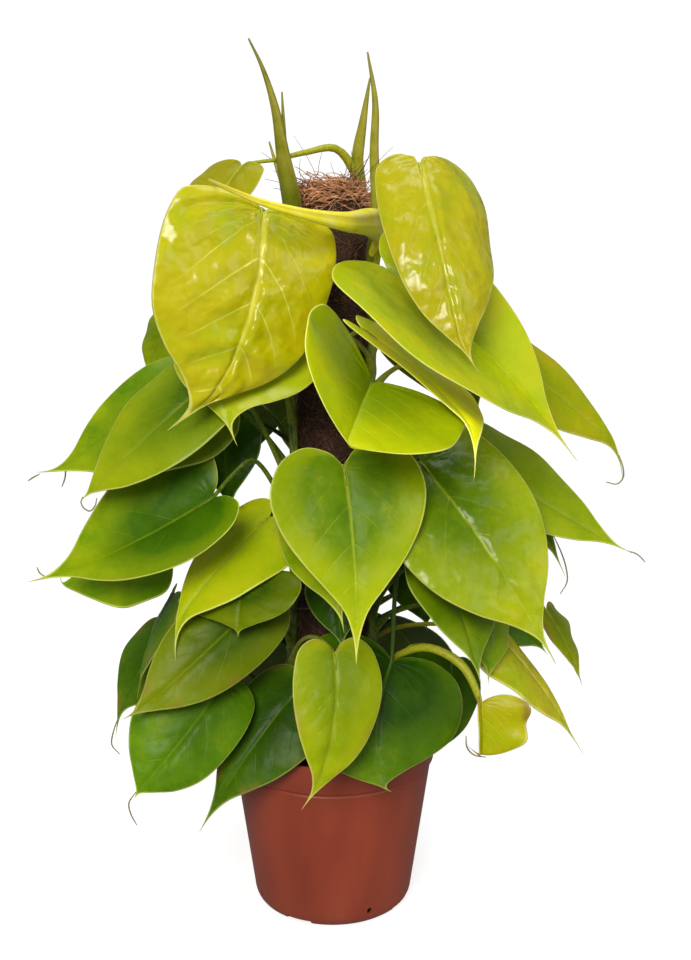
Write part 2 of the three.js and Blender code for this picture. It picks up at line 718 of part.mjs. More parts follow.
function backLeaves() {
  const leaves = [];
  BACK_TIERS.forEach(({ count, first, step, height, age }, tier) => {
    for (let i = 0; i < count; i++) {
      const number = leaves.length;
      const azimuth = first + step * i + swing(number, 2.3, 6);
      const outer = i % 2;
      const size = 1 + swing(number, 3.1, 0.1);
      const top = height + FAR.up * outer + swing(number, 1.7, 7);
      const base = heading(azimuth).multiplyScalar(FAR.base + FAR.baseOut * outer);
      const tip = heading(azimuth + swing(number, 1.1, 9));
      tip.multiplyScalar(FAR.tip + FAR.tipOut * outer);
      leaves.push({
        name: "leaf_back_" + (tier + 1) + "_" + (i + 1),
        age,
        vine: azimuth > 180 ? BACK_LEFT : BACK_RIGHT,
        node: height - FAR.droop + (FAR.up + 2) * outer,
        base: [base.x, base.y, top],
        tip: [tip.x, tip.y, top - FAR.length * size],
        wide: FAR.wide * size,
        faces: [azimuth + swing(number, 2.9, 10), FAR.elevation],
        arch: FAR.arch + swing(number, 1.9, 6),
        sweep: swing(number, 2.7, 5),
        full: 0.5 + swing(number, 2.1, 0.3),
        rows: 7,
      });
    }
  });
  return leaves;
}

const plant = new THREE.Group();
const clearances = [poleClearance(), ...VINES.map((spec) => vine(spec, GAP))];

plant.add(meshOf("pot", pot(), COLOUR.pot, 0.55));
plant.add(meshOf("soil", soil([stake(GAP), ...clearances]), COLOUR.soil, 0.95));
plant.add(meshOf("pole_stake", stake(), COLOUR.stake, 0.8));
plant.add(meshOf("pole_coir", coir(), COLOUR.coir, 0.95));
for (const spec of VINES) plant.add(meshOf(spec.name, vine(spec), COLOUR.vine, 0.45));
for (const leaf of [...FRONT_LEAVES, ...backLeaves()]) {
  const made = leafSolid(leaf, clearances);
  plant.add(meshOf(leaf.name, made, COLOUR[leaf.age], 0.4));
}

export default plant;
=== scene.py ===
"""Looks for a neon heart-leaf philodendron that climbs a coir pole in a plastic nursery pot.

Metres, +Z up, -Y towards the viewer. The tables below are in millimetres and degrees, and
say the same as the part's own: where each leaf hangs, how it bends and what it grows from.
"""

import math
import random
from functools import partial

import bmesh
import bpy
from mathutils import Euler, Matrix, Vector, noise


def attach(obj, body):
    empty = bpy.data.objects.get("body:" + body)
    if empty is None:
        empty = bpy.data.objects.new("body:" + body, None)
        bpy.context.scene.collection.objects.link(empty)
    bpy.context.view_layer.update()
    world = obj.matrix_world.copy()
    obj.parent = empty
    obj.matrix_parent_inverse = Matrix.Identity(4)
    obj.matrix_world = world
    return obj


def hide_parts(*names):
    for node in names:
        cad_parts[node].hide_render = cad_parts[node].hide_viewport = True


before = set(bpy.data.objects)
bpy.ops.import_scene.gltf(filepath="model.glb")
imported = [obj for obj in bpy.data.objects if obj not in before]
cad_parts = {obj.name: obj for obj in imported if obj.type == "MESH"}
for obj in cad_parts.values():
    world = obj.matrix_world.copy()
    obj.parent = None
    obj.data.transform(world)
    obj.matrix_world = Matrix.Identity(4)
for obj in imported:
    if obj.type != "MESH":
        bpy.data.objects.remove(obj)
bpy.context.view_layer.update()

MM = 0.001
MERGE = 2e-6  # points closer than this are one

# Pot, soil and pole
WALL_TOP, WALL_LOW, BAND, CORNER, LIP_HEIGHT = 58.5, 47.3, 90, 9, 107
FOOT, FOOT_WIDTH, RECESS = 41, 6, 2.5
NOTCHES, NOTCH_WIDTH, NOTCH_HEIGHT, NOTCH_TURN = 4, 17, 3.6, -27
DRAIN_WIDTH, DRAIN_HEIGHT, DRAIN_LEVEL, DRAIN_TURN = 3, 4, 9.5, 27
SOIL_TOP, SOIL_RADIUS = 94, 56.2
# Lumps, each size a rise and a width: the heaps and crumbs of the soil, the tufts of the felt
HEAPS, TUFTS = [(2.2, 14), (1.3, 4), (0.6, 1.8)], [(1, 7), (0.6, 3)]
POLE_RADIUS, POLE_FOOT, POLE_SHOULDER, POLE_TOP = 20.3, 58, 414, 427
FELT_EDGE, FELT_ROUND = 410, 13  # where the felt's top starts to round, and how high that is
FELT_TUFT, CROWN_TUFT, FELT_RINGS = 0.9, 1.5, 150  # how far its tufts stand out and up
NEST_RADIUS, NEST_EDGE = 15.5, 22  # fibres lie within the one and bend down past the other
SHARP = math.radians(35)  # edges of the pot that turn by more stay sharp

# Vines: azimuth round the pole, top, and the spears of leaves that are still rolled
VINE_RADIUS, VINE_TIP_RADIUS, VINE_FOOT, VINE_OUT = 3.1, 2.3, 66, 24.7
LEAN, LEAN_HEIGHT = 9, 38  # how much further out a vine's foot is, and how soon it closes in
WANDER, WANDER_HEIGHT = 7, 34  # degrees that a vine swings round the pole, over what height
NODE_SWELL, NODE_HALF = 0.3, 2.2  # how much thicker a node is, and half its height
VINES = {
    "left": (-62, 398),
    "right": (60, 388),
    "back_right": (140, 410),
    "back_left": (-146, 372),
}
ROLL_STEP, ROLL_DEPTH = 0.94, 0.28  # where a roll's free edge steps down, share of the radius
# Each spear: its vine, path, radii, tint (0 olive, 1 neon) and turns that its free edge winds
SPEARS = [
    ("left", [(-19, -14, 392), (-21, -20, 412), (-25, -28, 436), (-29, -31, 462), (-35, -33, 482),
              (-42, -35, 497)],
     [(0, 2.6), (0.1, 5.2), (0.3, 4.6), (0.5, 3.2), (0.75, 1.7), (0.92, 0.8), (1, 0.5)], 0.12, 0.5),
    ("left", [(-23, -22, 424), (-24.5, -24, 440), (-25, -25, 456), (-25.6, -25, 471)],
     [(0, 2.4), (0.5, 1.3), (1, 0.45)], 0.12, 0.5),
    ("right", [(20.8, -12.4, 380), (23.4, -17, 396), (24, -20, 412), (22.6, -22, 440), (23, -24, 466),
               (19, -25, 491)],
     [(0, 2.6), (0.18, 3.4), (0.45, 2.6), (0.7, 2), (0.9, 1), (1, 0.5)], 0.2, 0.5),
    ("right", [(20.8, -12.4, 384), (27, -26, 398), (22, -46, 404), (6, -84, 407), (-14, -103, 412),
               (-34, -110, 418), (-57, -112, 428)],
     [(0, 2.4), (0.08, 3), (0.13, 7), (0.2, 7.8), (0.35, 6.6), (0.5, 4.8), (0.7, 2.5),
      (1, 0.6)], 1, 0.12),
    ("back_right", [(16, 19, 402), (15.5, 18.6, 420), (14, 18, 436), (17, 16, 456), (21, 15, 480)],
     [(0, 2.6), (0.25, 3.6), (0.55, 3), (0.8, 1.6), (1, 0.5)], 0.2, 0.5),
    ("back_left", [(-13.5, 20, 364), (-16, 25, 384), (-22, 32, 408), (-31, 38, 430), (-36, 41, 446)],
     [(0, 2.6), (0.2, 4.6), (0.5, 3.2), (0.8, 1.4), (1, 0.5)], 0.3, 0.5),
]

# Half of a leaf's outline from the notch round the lobe to the drip tip: share of the half
# width, share of the length. A leaf lies between the slim and the full one.
LOBE = [(0, 0), (0.16, -0.075), (0.5, -0.11), (0.85, -0.04), (1, 0.12)]
SLIM = LOBE + [(0.9, 0.29), (0.66, 0.45), (0.38, 0.59), (0.14, 0.72), (0.04, 0.86), (0, 1)]
FULL = LOBE + [(1, 0.34), (0.9, 0.53), (0.64, 0.68), (0.3, 0.79), (0.05, 0.89), (0, 1)]
# How the strips of faces slant, how far and how often the margin waves, and where the hook of
# the drip tip starts
SLANT, WAVE, WAVE_PACE, HOOK_FROM = 0.15, 1.1, 13, 0.72
BLADE_THICK = 0.6  # as thin as a real blade looks, inside the solid's 0.9
# How far across a half blade each strip of faces starts: fine at the midrib and the margin
STRIPS = [0, 0.02, 0.05, 0.1, 0.18, 0.28, 0.4, 0.52, 0.64, 0.75, 0.85, 0.93, 0.98, 1]
BLADE_ROWS = 50
MIDRIB_HALF, VEINS_TO_TIP = 1.5, 5.2  # half the midrib's width, side veins on each side
RIDGE_OUT, RIDGE_HALF = 2.6, 1.2  # the two ridges beside a young midrib
CHANNEL, CREASE = 0.8, 8  # how deep the midrib's channel is, and how wide the creases are
STALK = [(0, 3.0), (0.05, 2.5), (0.18, 1.45), (0.85, 1.15), (1, 0.5)]  # share along, radius
# How a stalk leaves its node and arrives, in shares of its reach, how far along the blade it
# ends, and how far below the skin it is at the notch and there
LEAVE_OUT, LEAVE_UP, ARRIVE, GRIP, NOTCH_BELOW, GRIP_BELOW = 0.16, 0.3, 0.28, 0.09, 0.6, 0.7
# How finely the round pieces are made: round them and along them
VINE_SIDES, VINE_STEPS, ROLL_SIDES, ROLL_STEPS, STALK_SIDES, STALK_STEPS = 16, 110, 28, 60, 10, 24
FELT_SIDES, SOIL_SIDES, POT_SIDES = 72, 120, 144
# What each point of a blade stores for its material, three values in each
BLADE_STORES = ("blade", "rim", "tone", "wear")


def leaf(name, age, vine, node, base, tip, wide, faces, tint, green_core_and_shade=0.6, **shape):
    """tint runs from 0, deep green, to 1, neon yellow; core is how green the middle stays, and on some leaves
    it is raised to paint the shade that falls on their upper part.

    In shape, arch, fold, roll, sweep and hook bend the blade, full, lobe and skew form its
    outline, and via and stalk give the stalk's way and radii. puff, ridge and bow are how far
    the skin swells, the midrib's sides rise and the midrib strays. veins is how pale the side
    veins are, burn how dry the margin is, dim scales how light the skin is, which paints the
    light and shade that fall on the leaf, and skin names the age whose skin it has, if not its own."""
    told = dict(name=name, age=age, vine=vine, node=node, base=base, tip=tip, wide=wide, faces=faces)
    return dict(told, tint=tint, green_core_and_shade=green_core_and_shade, **shape)


LEAVES = [
    leaf("top_left", "young", "left", 372, (-34, -77, 411), (-70, -90, 305), 89, (23, 19), 1, 0.45,
         arch=44, roll=0, sweep=-2, full=1, lobe=0.52, skew=0.05, hook=(-13, 2, -2), puff=2.6, ridge=1.6,
         bow=-6, veins=0.9, dim=0.95),
    leaf("top_back", "young", "back_right", 405, (-46, -42, 434), (-65, -58, 374), 41, (-22, 48), 0.95,
         arch=69, lobe=0.54, skew=0.28, via=[(13, 17, 426), (10, 12, 440), (-8, -2, 441), (-26, -24, 437)],
         puff=0.8, dim=0.62, stalk=[(0, 1.6), (0.12, 1.4), (0.24, 2.6), (0.55, 1.6), (0.85, 0.95), (1, 0.5)],
         skin="middle"),
    leaf("top_right", "young", "right", 374, (44, -76, 435), (67, -116, 332), 57, (18, 16), 0.97, 0.2,
         arch=53, roll=10, sweep=5, full=1, lobe=0.62, skew=-0.18, hook=(5, 0, 5), puff=1.4, ridge=0.9,
         veins=0.1, dim=0.8),
    leaf("top_left_under", "middle", "left", 292, (-38, -56, 352), (-55, -86, 302), 78, (-9, 27), 0.78, 0.3,
         arch=36, sweep=3, full=0.9, skew=-0.04, hook=(8, 0, -8)),
    leaf("left_hidden", "old", "back_left", 318, (-88, -2, 352), (-105, -2, 318), 35, (-42, 18), 0.58,
         arch=30, full=1, dim=0.7),
    leaf("left_upper", "middle", "left", 262, (-69, -36, 317), (-157, -36, 261), 67, (-13, 35), 0.46, 0.7,
         arch=49, sweep=-1, skew=-0.15, hook=(-5, 0, 9), dim=0.92),
    leaf("left_upper_front", "middle", "left", 248, (-62, -57, 325), (-138, -64, 255), 58, (-29, 35), 0.62,
         0.9, arch=36, sweep=-5, full=0.7, skew=0.07, hook=(6, 0, 6), dim=0.8),
    # centre_upper is made a little lighter than its own colour: painted light on its shaded left half
    leaf("centre_upper", "middle", "right", 296, (21, -84, 327), (5, -144, 299), 102, (47, 41), 0.78, 0.8,
         arch=10, fold=22, roll=0, sweep=1, full=1, lobe=0.93, skew=0.01, hook=(10, 16, 3), dim=1.12),
    # right_slim is made much lighter than its own colour: painted light where top_right's shadow falls on it
    leaf("right_slim", "young", "right", 322, (17, -68, 352), (79, -120, 298), 46, (58, 51), 0.88, 0,
         arch=8, fold=2, sweep=-7, full=1, skew=-0.6, hook=(-9, 0, -14), dim=1.8, skin="old"),
    leaf("right_large", "middle", "right", 348, (30, -62, 382), (125, -76, 287), 100, (29, 43), 0.8, 0.35,
         arch=30, fold=23, roll=0, sweep=1, full=0.6, skew=0.37, hook=(3, 0, -3), via=[(26, -38, 366)]),
    leaf("right_upper", "old", "right", 310, (91, -22, 336), (173, -10, 266), 48, (42, 30), 0.85, 0.5,
         arch=18, sweep=1, hook=(-9, 0, -6), burn=0.2, dim=0.7),
    leaf("right_mid", "middle", "right", 256, (78, -30, 278), (170, -22, 219), 55, (30, 41), 0.55, 0.5,
         arch=9, sweep=4, full=0.6, skew=-0.22, hook=(-1, 0, 1), dim=0.85),
    leaf("right_behind", "old", "back_right", 240, (96, -8, 262), (132, -10, 206), 40, (50, 30), 0.35,
         arch=30, hook=(2, 0, -4), burn=0.3),
    leaf("centre_right", "middle", "right", 238, (48, -50, 278), (116, -90, 181), 86, (14, 35), 0.72, 1.2,
         arch=41, roll=2, sweep=1, full=0.8, skew=0.01, hook=(2, 0, -2), puff=1.7, skin="ribbed", dim=0.9),
    # centre_heart's strong green top is in part painted shade, where centre_upper's shadow falls
    leaf("centre_heart", "middle", "right", 250, (7, -76, 281), (13, -108, 185), 81, (5, 22), 0.75, 1.4,
         arch=15, roll=-2, sweep=-2, full=0.11, lobe=1.2, via=[(17, -40, 284)], puff=0.5, skin="old"),
    leaf("heart_behind", "middle", "left", 244, (-1, -54, 269), (7, -88, 195), 50, (-23, 19), 0.6, 0.8,
         arch=24, full=0.59, skew=0.45),
    # left_mid's dark green upper half is in part painted shadow, cast by left_upper_front
    leaf("left_mid", "old", "left", 226, (-64, -60, 261), (-165, -48, 210), 72, (-16, 33), 0.5, 1.4,
         arch=8, fold=21, sweep=-5, skew=0.15, hook=(-2, 0, 1), via=[(-42, -29, 275)], burn=0.2),
    leaf("left_mid_under", "old", "back_left", 196, (-99, -20, 222), (-164, -18, 194), 51, (-51, 43), 0.42,
         arch=14, skew=-0.3, hook=(10, 0, 11)),
    # left_dark has the deepest tint: in part painted shade, for a leaf deep behind the stalks
    leaf("left_dark", "old", "back_left", 262, (-61, -8, 294), (-56, -20, 240), 44, (-20, 20), 0.05,
         arch=24),
    leaf("left_low_a", "middle", "left", 205, (-35, -34, 244), (-92, -68, 179), 54, (-32, 35), 0.76, 0.3,
         arch=33, skew=-0.1, hook=(8, 0, -7)),
    leaf("left_low_b", "middle", "left", 186, (-49, -56, 215), (-50, -70, 187), 72, (-22, 26), 0.6, 1.3,
         arch=38, sweep=-1, full=0.8, skew=0.07, dim=0.55, skin="old"),
    leaf("left_low_c", "middle", "left", 160, (-41, -46, 199), (-116, -78, 137), 51, (-9, 16), 0.66, 1.1,
         arch=30, sweep=-2, full=0.7, skew=0.01, hook=(3, 0, 6), burn=0.6, dim=0.55, skin="old"),
    leaf("left_edge_a", "middle", "back_left", 168, (-91, -22, 194), (-112, -26, 134), 34, (-75, 20), 0.35,
         0.8, arch=24, burn=0.6, dim=0.8),
    leaf("left_edge_b", "old", "back_left", 140, (-96, -2, 164), (-128, -10, 110), 52, (-42, 24), 0.22, 0.8,
         arch=50, skew=-0.04, hook=(0, 0, -6), burn=0.6, dim=0.8),
    leaf("left_low_d", "old", "left", 122, (-62, -52, 152), (-114, -80, 94), 58, (-3, 17), 0.3,
         arch=42, sweep=-3, full=1, skew=0.13, hook=(7, 0, 4), via=[(-52, -27, 152)], puff=0.6),
    leaf("front_left_low", "old", "left", 120, (-20, -40, 145), (-74, -66, 71), 55, (-16, 32), 0.22, 0.9,
         arch=32, full=0.29, skew=-0.07, burn=0.7, dim=0.75),
    leaf("front_low", "middle", "left", 150, (2, -84, 182), (-13, -104, 103), 50, (19, 14), 0.74, 0.7,
         arch=40, sweep=-4, full=0.58, lobe=0.99, skew=-0.08, hook=(-3, 0, 0), puff=0.9, burn=0.3, dim=0.88),
    # front_right_low is darker, with a strong green upper part: in part painted shade under the leaves above
    # it
    leaf("front_right_low", "old", "right", 220, (33, -46, 164), (27, -80, 93), 92, (9, 28), 0.32, 1.4,
         arch=26, sweep=6, full=1, hook=(6, 0, 9), via=[(36, -26, 236), (35, -42, 205)], dim=0.72),
    leaf("right_low_dark", "old", "right", 104, (69, -20, 154), (52, -42, 98), 57, (34, 20), 0.2, 0.7,
         arch=48, sweep=1, full=0.65, skew=0.18, hook=(0, 0, 7), dim=0.8, burn=0.2),
    leaf("right_hang", "middle", "right", 180, (57, -58, 227), (79, -88, 165), 58, (36, 19), 0.42, 0.8,
         arch=30, skew=-0.19, hook=(0, 0, 2), dim=0.8),
    leaf("right_cup", "young", "right", 140, (81, -70, 149), (81, -72, 113), 33, (34, 17), 0.97, 0.3,
         arch=32, fold=38, roll=0, sweep=1, full=1, skew=-0.54, hook=(-7, 0, 13),
         via=[(44, -48, 172), (66, -60, 174)], burn=0.7,
         stalk=[(0, 2.2), (0.4, 2), (0.75, 2.6), (0.92, 2), (1, 0.8)], skin="middle", dim=0.88),
    leaf("right_low_a", "young", "back_right", 146, (90, -26, 178), (142, -40, 106), 33, (62, 29), 0.93,
         arch=32, sweep=3, skew=0.39, hook=(1, 0, 0), burn=0.2, dim=0.9),
    leaf("right_low_b", "middle", "right", 170, (86, -46, 190), (86, -57, 155), 28, (25, 14), 0.5,
         arch=20, skew=-0.2, burn=0.4),
    leaf("right_low_back", "old", "back_right", 160, (97, -7, 185), (125, -12, 156), 40, (10, 50), 0.3, 0.7,
         arch=24, via=[(46, 23, 176), (78, 16, 186)]),
    leaf("right_edge", "old", "back_right", 170, (125, -4, 180), (145, -16, 138), 31, (52, 34), 0.8, 0.8,
         arch=28, sweep=1, skew=-0.34, via=[(72, 16, 200), (112, 9, 194)], burn=0.9, dim=0.6),
    # heart_under and right_dark have the deepest tint and are darkened: in part painted shade, for leaves
    # deep inside the plant
    leaf("heart_under", "old", "left", 118, (2, -34, 210), (6, -50, 170), 36, (-5, 30), 0.05,
         arch=24, dim=0.8),
    leaf("right_dark", "old", "back_right", 205, (49, 8, 226), (56, 10, 162), 46, (10, 5), 0.05,
         arch=24, full=1, dim=0.7),
]

FAR_BASE, FAR_TIP, FAR_WIDE, FAR_DROP = 54, 112, 72, 84  # a far leaf's usual reach and size
# Leaves on the far side: count, first azimuth, step, height of the notch, age, tint
BACK_TIERS = [
    (3, 136, 44, 156, "old", 0.25),
    (3, 128, 48, 226, "old", 0.35),
    (3, 132, 52, 290, "middle", 0.5),
    (2, 128, 72, 352, "middle", 0.68),
    (1, 172, 60, 408, "young", 0.95),
]


def heading(azimuth, elevation=0):
    """The unit direction at an azimuth, 0 towards the viewer and 90 to the viewer's right."""
    a, e = math.radians(azimuth), math.radians(elevation)
    return Vector((math.sin(a) * math.cos(e), -math.cos(a) * math.cos(e), math.sin(e)))


def swing(number, pace, reach):
    """What makes each far leaf differ a little from its neighbours."""
    return reach * math.sin(number * pace + 0.6)


def back_leaves():
    """The leaves of the far side, tier by tier."""
    made = []
    for tier, (count, first, step, height, age, tint) in enumerate(BACK_TIERS):
        for i in range(count):
            number = len(made)
            azimuth = first + step * i + swing(number, 2.3, 6)
            outer = i % 2
            size = 1 + swing(number, 3.1, 0.1)
            top = height + 6 * outer + swing(number, 1.7, 7)
            base = heading(azimuth) * (FAR_BASE + 18 * outer)
            tip = heading(azimuth + swing(number, 1.1, 9)) * (FAR_TIP + 22 * outer)
            shape = {
                "arch": 30 + swing(number, 1.9, 6),
                "sweep": swing(number, 2.7, 5),
                "full": 0.5 + swing(number, 2.1, 0.3),
            }
            name, vine = f"back_{tier + 1}_{i + 1}", "back_left" if azimuth > 180 else "back_right"
            base, tip = (base.x, base.y, top), (tip.x, tip.y, top - FAR_DROP * size)
            faces = (azimuth + swing(number, 2.9, 10), 30)
            node, colour = height - 40 + 8 * outer, tint + swing(number, 4.3, 0.06)
            wide = FAR_WIDE * size
            made.append(leaf(name, age, vine, node, base, tip, wide, faces, colour, 0.7, **shape))
    return made


# Curves


def lerp(a, b, share):
    """The value at a share of the way from a to b."""
    return a + (b - a) * share


def ease(low, high, x):
    """0 up to low, 1 from high, with a soft run between."""
    x = min(1, max(0, (x - low) / (high - low)))
    return x * x * (3 - 2 * x)


def stations(table, share):
    """A value that runs straight between (share, value) stations."""
    for (a, start), (b, end) in zip(table, table[1:]):
        if share <= b:
            return lerp(start, end, (share - a) / (b - a))
    return table[-1][1]


def outline_at(points, share):
    """A point on the smooth line through an outline's points."""
    place = (len(points) - 1) * share
    at = min(int(place), len(points) - 2)
    t = place - at
    p = [points[min(max(at + k, 0), len(points) - 1)] for k in (-1, 0, 1, 2)]
    out = []
    for a, b, c, d in zip(*p):
        v0, v1 = (c - a) / 2, (d - b) / 2
        out.append((2 * b - 2 * c + v0 + v1) * t**3 + (-3 * b + 3 * c - 2 * v0 - v1) * t**2 + v0 * t + b)
    return out


def path_through(points, count):
    """count + 1 evenly spaced points on the smooth line through points."""
    p = [Vector(q) for q in points]
    p = [p[0] * 2 - p[1], *p, p[-1] * 2 - p[-2]]
    dense = []
    for a, b, c, d in zip(p, p[1:], p[2:], p[3:]):
        gaps = [max((v - u).length, 1e-6) ** 0.5 for u, v in ((a, b), (b, c), (c, d))]
        t0, t1, t2 = gaps
        v1 = ((b - a) / t0 - (c - a) / (t0 + t1) + (c - b) / t1) * t1
        v2 = ((c - b) / t1 - (d - b) / (t1 + t2) + (d - c) / t2) * t1
        for k in range(16):
            t = k / 16
            dense.append((b * 2 - c * 2 + v1 + v2) * t**3 + (c * 3 - b * 3 - v1 * 2 - v2) * t**2 + v1 * t + b)
    dense.append(p[-2])
    runs = [0]
    for a, b in zip(dense, dense[1:]):
        runs.append(runs[-1] + (b - a).length)
    out, at = [], 0
    for k in range(count + 1):
        want = runs[-1] * k / count
        while at < len(runs) - 2 and runs[at + 1] < want:
            at += 1
        out.append(dense[at].lerp(dense[at + 1], (want - runs[at]) / max(runs[at + 1] - runs[at], 1e-9)))
    return out


def frames_along(path):
    """A (point, side, side) for each point of a path, that turn as little as they can."""
    out, across = [], None
    for k, point in enumerate(path):
        ahead = (path[min(k + 1, len(path) - 1)] - path[max(k - 1, 0)]).normalized()
        if across is None:
            across = ahead.orthogonal().normalized()
        across = (across - ahead * across.dot(ahead)).normalized()
        out.append((point, across, ahead.cross(across)))
    return out


def vine_point(vine, height):
    """The point on a vine's centre line at a height."""
    azimuth = VINES[vine][0]
    lean = LEAN * math.exp(-(height - VINE_FOOT) / LEAN_HEIGHT)
    wander = WANDER * math.sin(height / WANDER_HEIGHT + azimuth)
    place = heading(azimuth + wander) * (VINE_OUT + lean)
    place.z = height
    return place


# Meshes


def grid(bm, columns, rows):
    """New grid points whose x and y run from 0 to 1."""
    made = bmesh.ops.create_grid(bm, x_segments=columns, y_segments=rows, size=0.5)["verts"]
    bmesh.ops.translate(bm, verts=made, vec=(0.5, 0.5, 0))
    return made


def lathe(profile, around, shift):
    """A mesh turned round the axis from (radius, height) points. shift(spot, radius) gives the
    move of each of its points."""
    bm = bmesh.new()
    rows = len(profile) - 1
    made = grid(bm, around, rows)
    for point in made:
        radius, height = profile[round(point.co.y * rows)]
        turn = math.tau * point.co.x
        spot = Vector((radius * math.cos(turn), radius * math.sin(turn), height))
        point.co = (spot + shift(spot, radius)) * MM
    bmesh.ops.remove_doubles(bm, verts=made, dist=MERGE)
    bmesh.ops.recalc_face_normals(bm, faces=bm.faces[:])
    return bm


def lumps(spot, sizes):
    """How far a rough surface stands out at a spot."""
    return sum(rise * noise.noise(spot / wide) for rise, wide in sizes)


def faces_of(points):
    """All the faces that touch some points."""
    return list({face for point in points for face in point.link_faces})


def tube(bm, path, radius_of, around, material=0, stamp=None, squeeze=None):
    """A closed bar along a path: a grid rolled up, whose end rows shrink to points.

    squeeze(angle share, share along) scales the radius; stamp(point, angle share, share along)
    writes what the material reads."""
    frames = frames_along(path)
    steps = len(path) - 1
    made = grid(bm, around, steps + 2)
    for point in made:
        turn, row = point.co.x, round(point.co.y * (steps + 2))
        station = min(max(row - 1, 0), steps)
        share = station / steps
        radius = 0 if row in (0, steps + 2) else radius_of(share)
        if squeeze:
            radius *= squeeze(turn, share)
        place, across, up = frames[station]
        angle = math.tau * turn
        if stamp:
            stamp(point, turn, share)
        point.co = (place + (across * math.cos(angle) + up * math.sin(angle)) * radius) * MM
    for face in faces_of(made):
        face.material_index = material
        face.smooth = True
    bmesh.ops.remove_doubles(bm, verts=made, dist=MERGE)
    bmesh.ops.recalc_face_normals(bm, faces=faces_of([point for point in made if point.is_valid]))


def smoothed(bm):
    """The same bmesh, with every face shaded smooth."""
    for face in bm.faces:
        face.smooth = True
    return bm


def meshed(name, bm):
    """A finished bmesh as a mesh."""
    mesh = bpy.data.meshes.new(name)
    bm.to_mesh(mesh)
    bm.free()
    return mesh


def placed(name, data):
    """A new object in the scene."""
    made = bpy.data.objects.new(name, data)
    bpy.context.scene.collection.objects.link(made)
    return made


def piece(name, bm, materials, slot, *nodes):
    """Turns a bmesh into a piece that rides on the plant and stands for its CAD nodes."""
    made = placed(name, meshed(name, bm))
    for material in materials:
        made.data.materials.append(material)
    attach(made, "root")
    if nodes:
        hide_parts(*nodes)
    return made


def applied(made):
    """The mesh that an object's modifiers or curve settings give."""
    graph = bpy.context.evaluated_depsgraph_get()
    return bpy.data.meshes.new_from_object(made.evaluated_get(graph), depsgraph=graph)


# Materials


def linear(code):
    """A linear colour from an sRGB hex value."""
    parts = [int(code[i : i + 2], 16) / 255 for i in (0, 2, 4)]
    return (*[p / 12.92 if p <= 0.04045 else ((p + 0.055) / 1.055) ** 2.4 for p in parts], 1)


def add_node(tree, kind, wires=(), stops=(), **settings):
    """Adds a node. wires gives its inputs in order, or by name or number: each is a value, an
    output or a node, which stands for the output it uses. stops are a ramp's colours."""
    node = tree.nodes.new("ShaderNode" + kind)
    for name, value in settings.items():
        setattr(node, name, value)
    for at, (place, code) in enumerate(stops):
        spots = node.color_ramp.elements
        spot = spots[at] if at < 2 else spots.new(place)
        spot.position, spot.color = place, linear(code)
    for name, value in wires.items() if isinstance(wires, dict) else enumerate(wires):
        if isinstance(value, bpy.types.Node):
            value = next(output for output in value.outputs if output.enabled)
        if isinstance(value, bpy.types.NodeSocket):
            tree.links.new(value, node.inputs[name])
        else:
            node.inputs[name].default_value = value
    return node


def blank(name, *stores):
    """A new material, its own way to add a node, the place on the piece in metres, and the
    three values that the mesh's points store under each name."""
    material = bpy.data.materials.new(name)
    material.use_nodes = True
    material.node_tree.nodes.clear()
    add = partial(add_node, material.node_tree)
    vectors = [add("Attribute", attribute_name=store).outputs["Vector"] for store in stores]
    values = [add("SeparateXYZ", [vector]).outputs for vector in vectors]
    return material, add, add("TexCoord").outputs["Object"], *values


def skinned(material, wires):
    """Ends a material with its shader. wires is as for add_node."""
    shader = add_node(material.node_tree, "BsdfPrincipled", wires)
    add_node(material.node_tree, "OutputMaterial", [shader])
    return material


def pattern(where, size, **more):
    """The wires of a texture whose marks are size mm across."""
    return {"Vector": where, "Scale": 1 / (size * MM), **more}


SOFT = {"interpolation_type": "SMOOTHSTEP"}
WAXY = 1.42  # refraction of a leaf's wax
# How light sinks into living leaf
FLESH = {"IOR": WAXY, "Subsurface Radius": (1.0, 1.0, 0.25), "Subsurface Scale": 1.2 * MM}


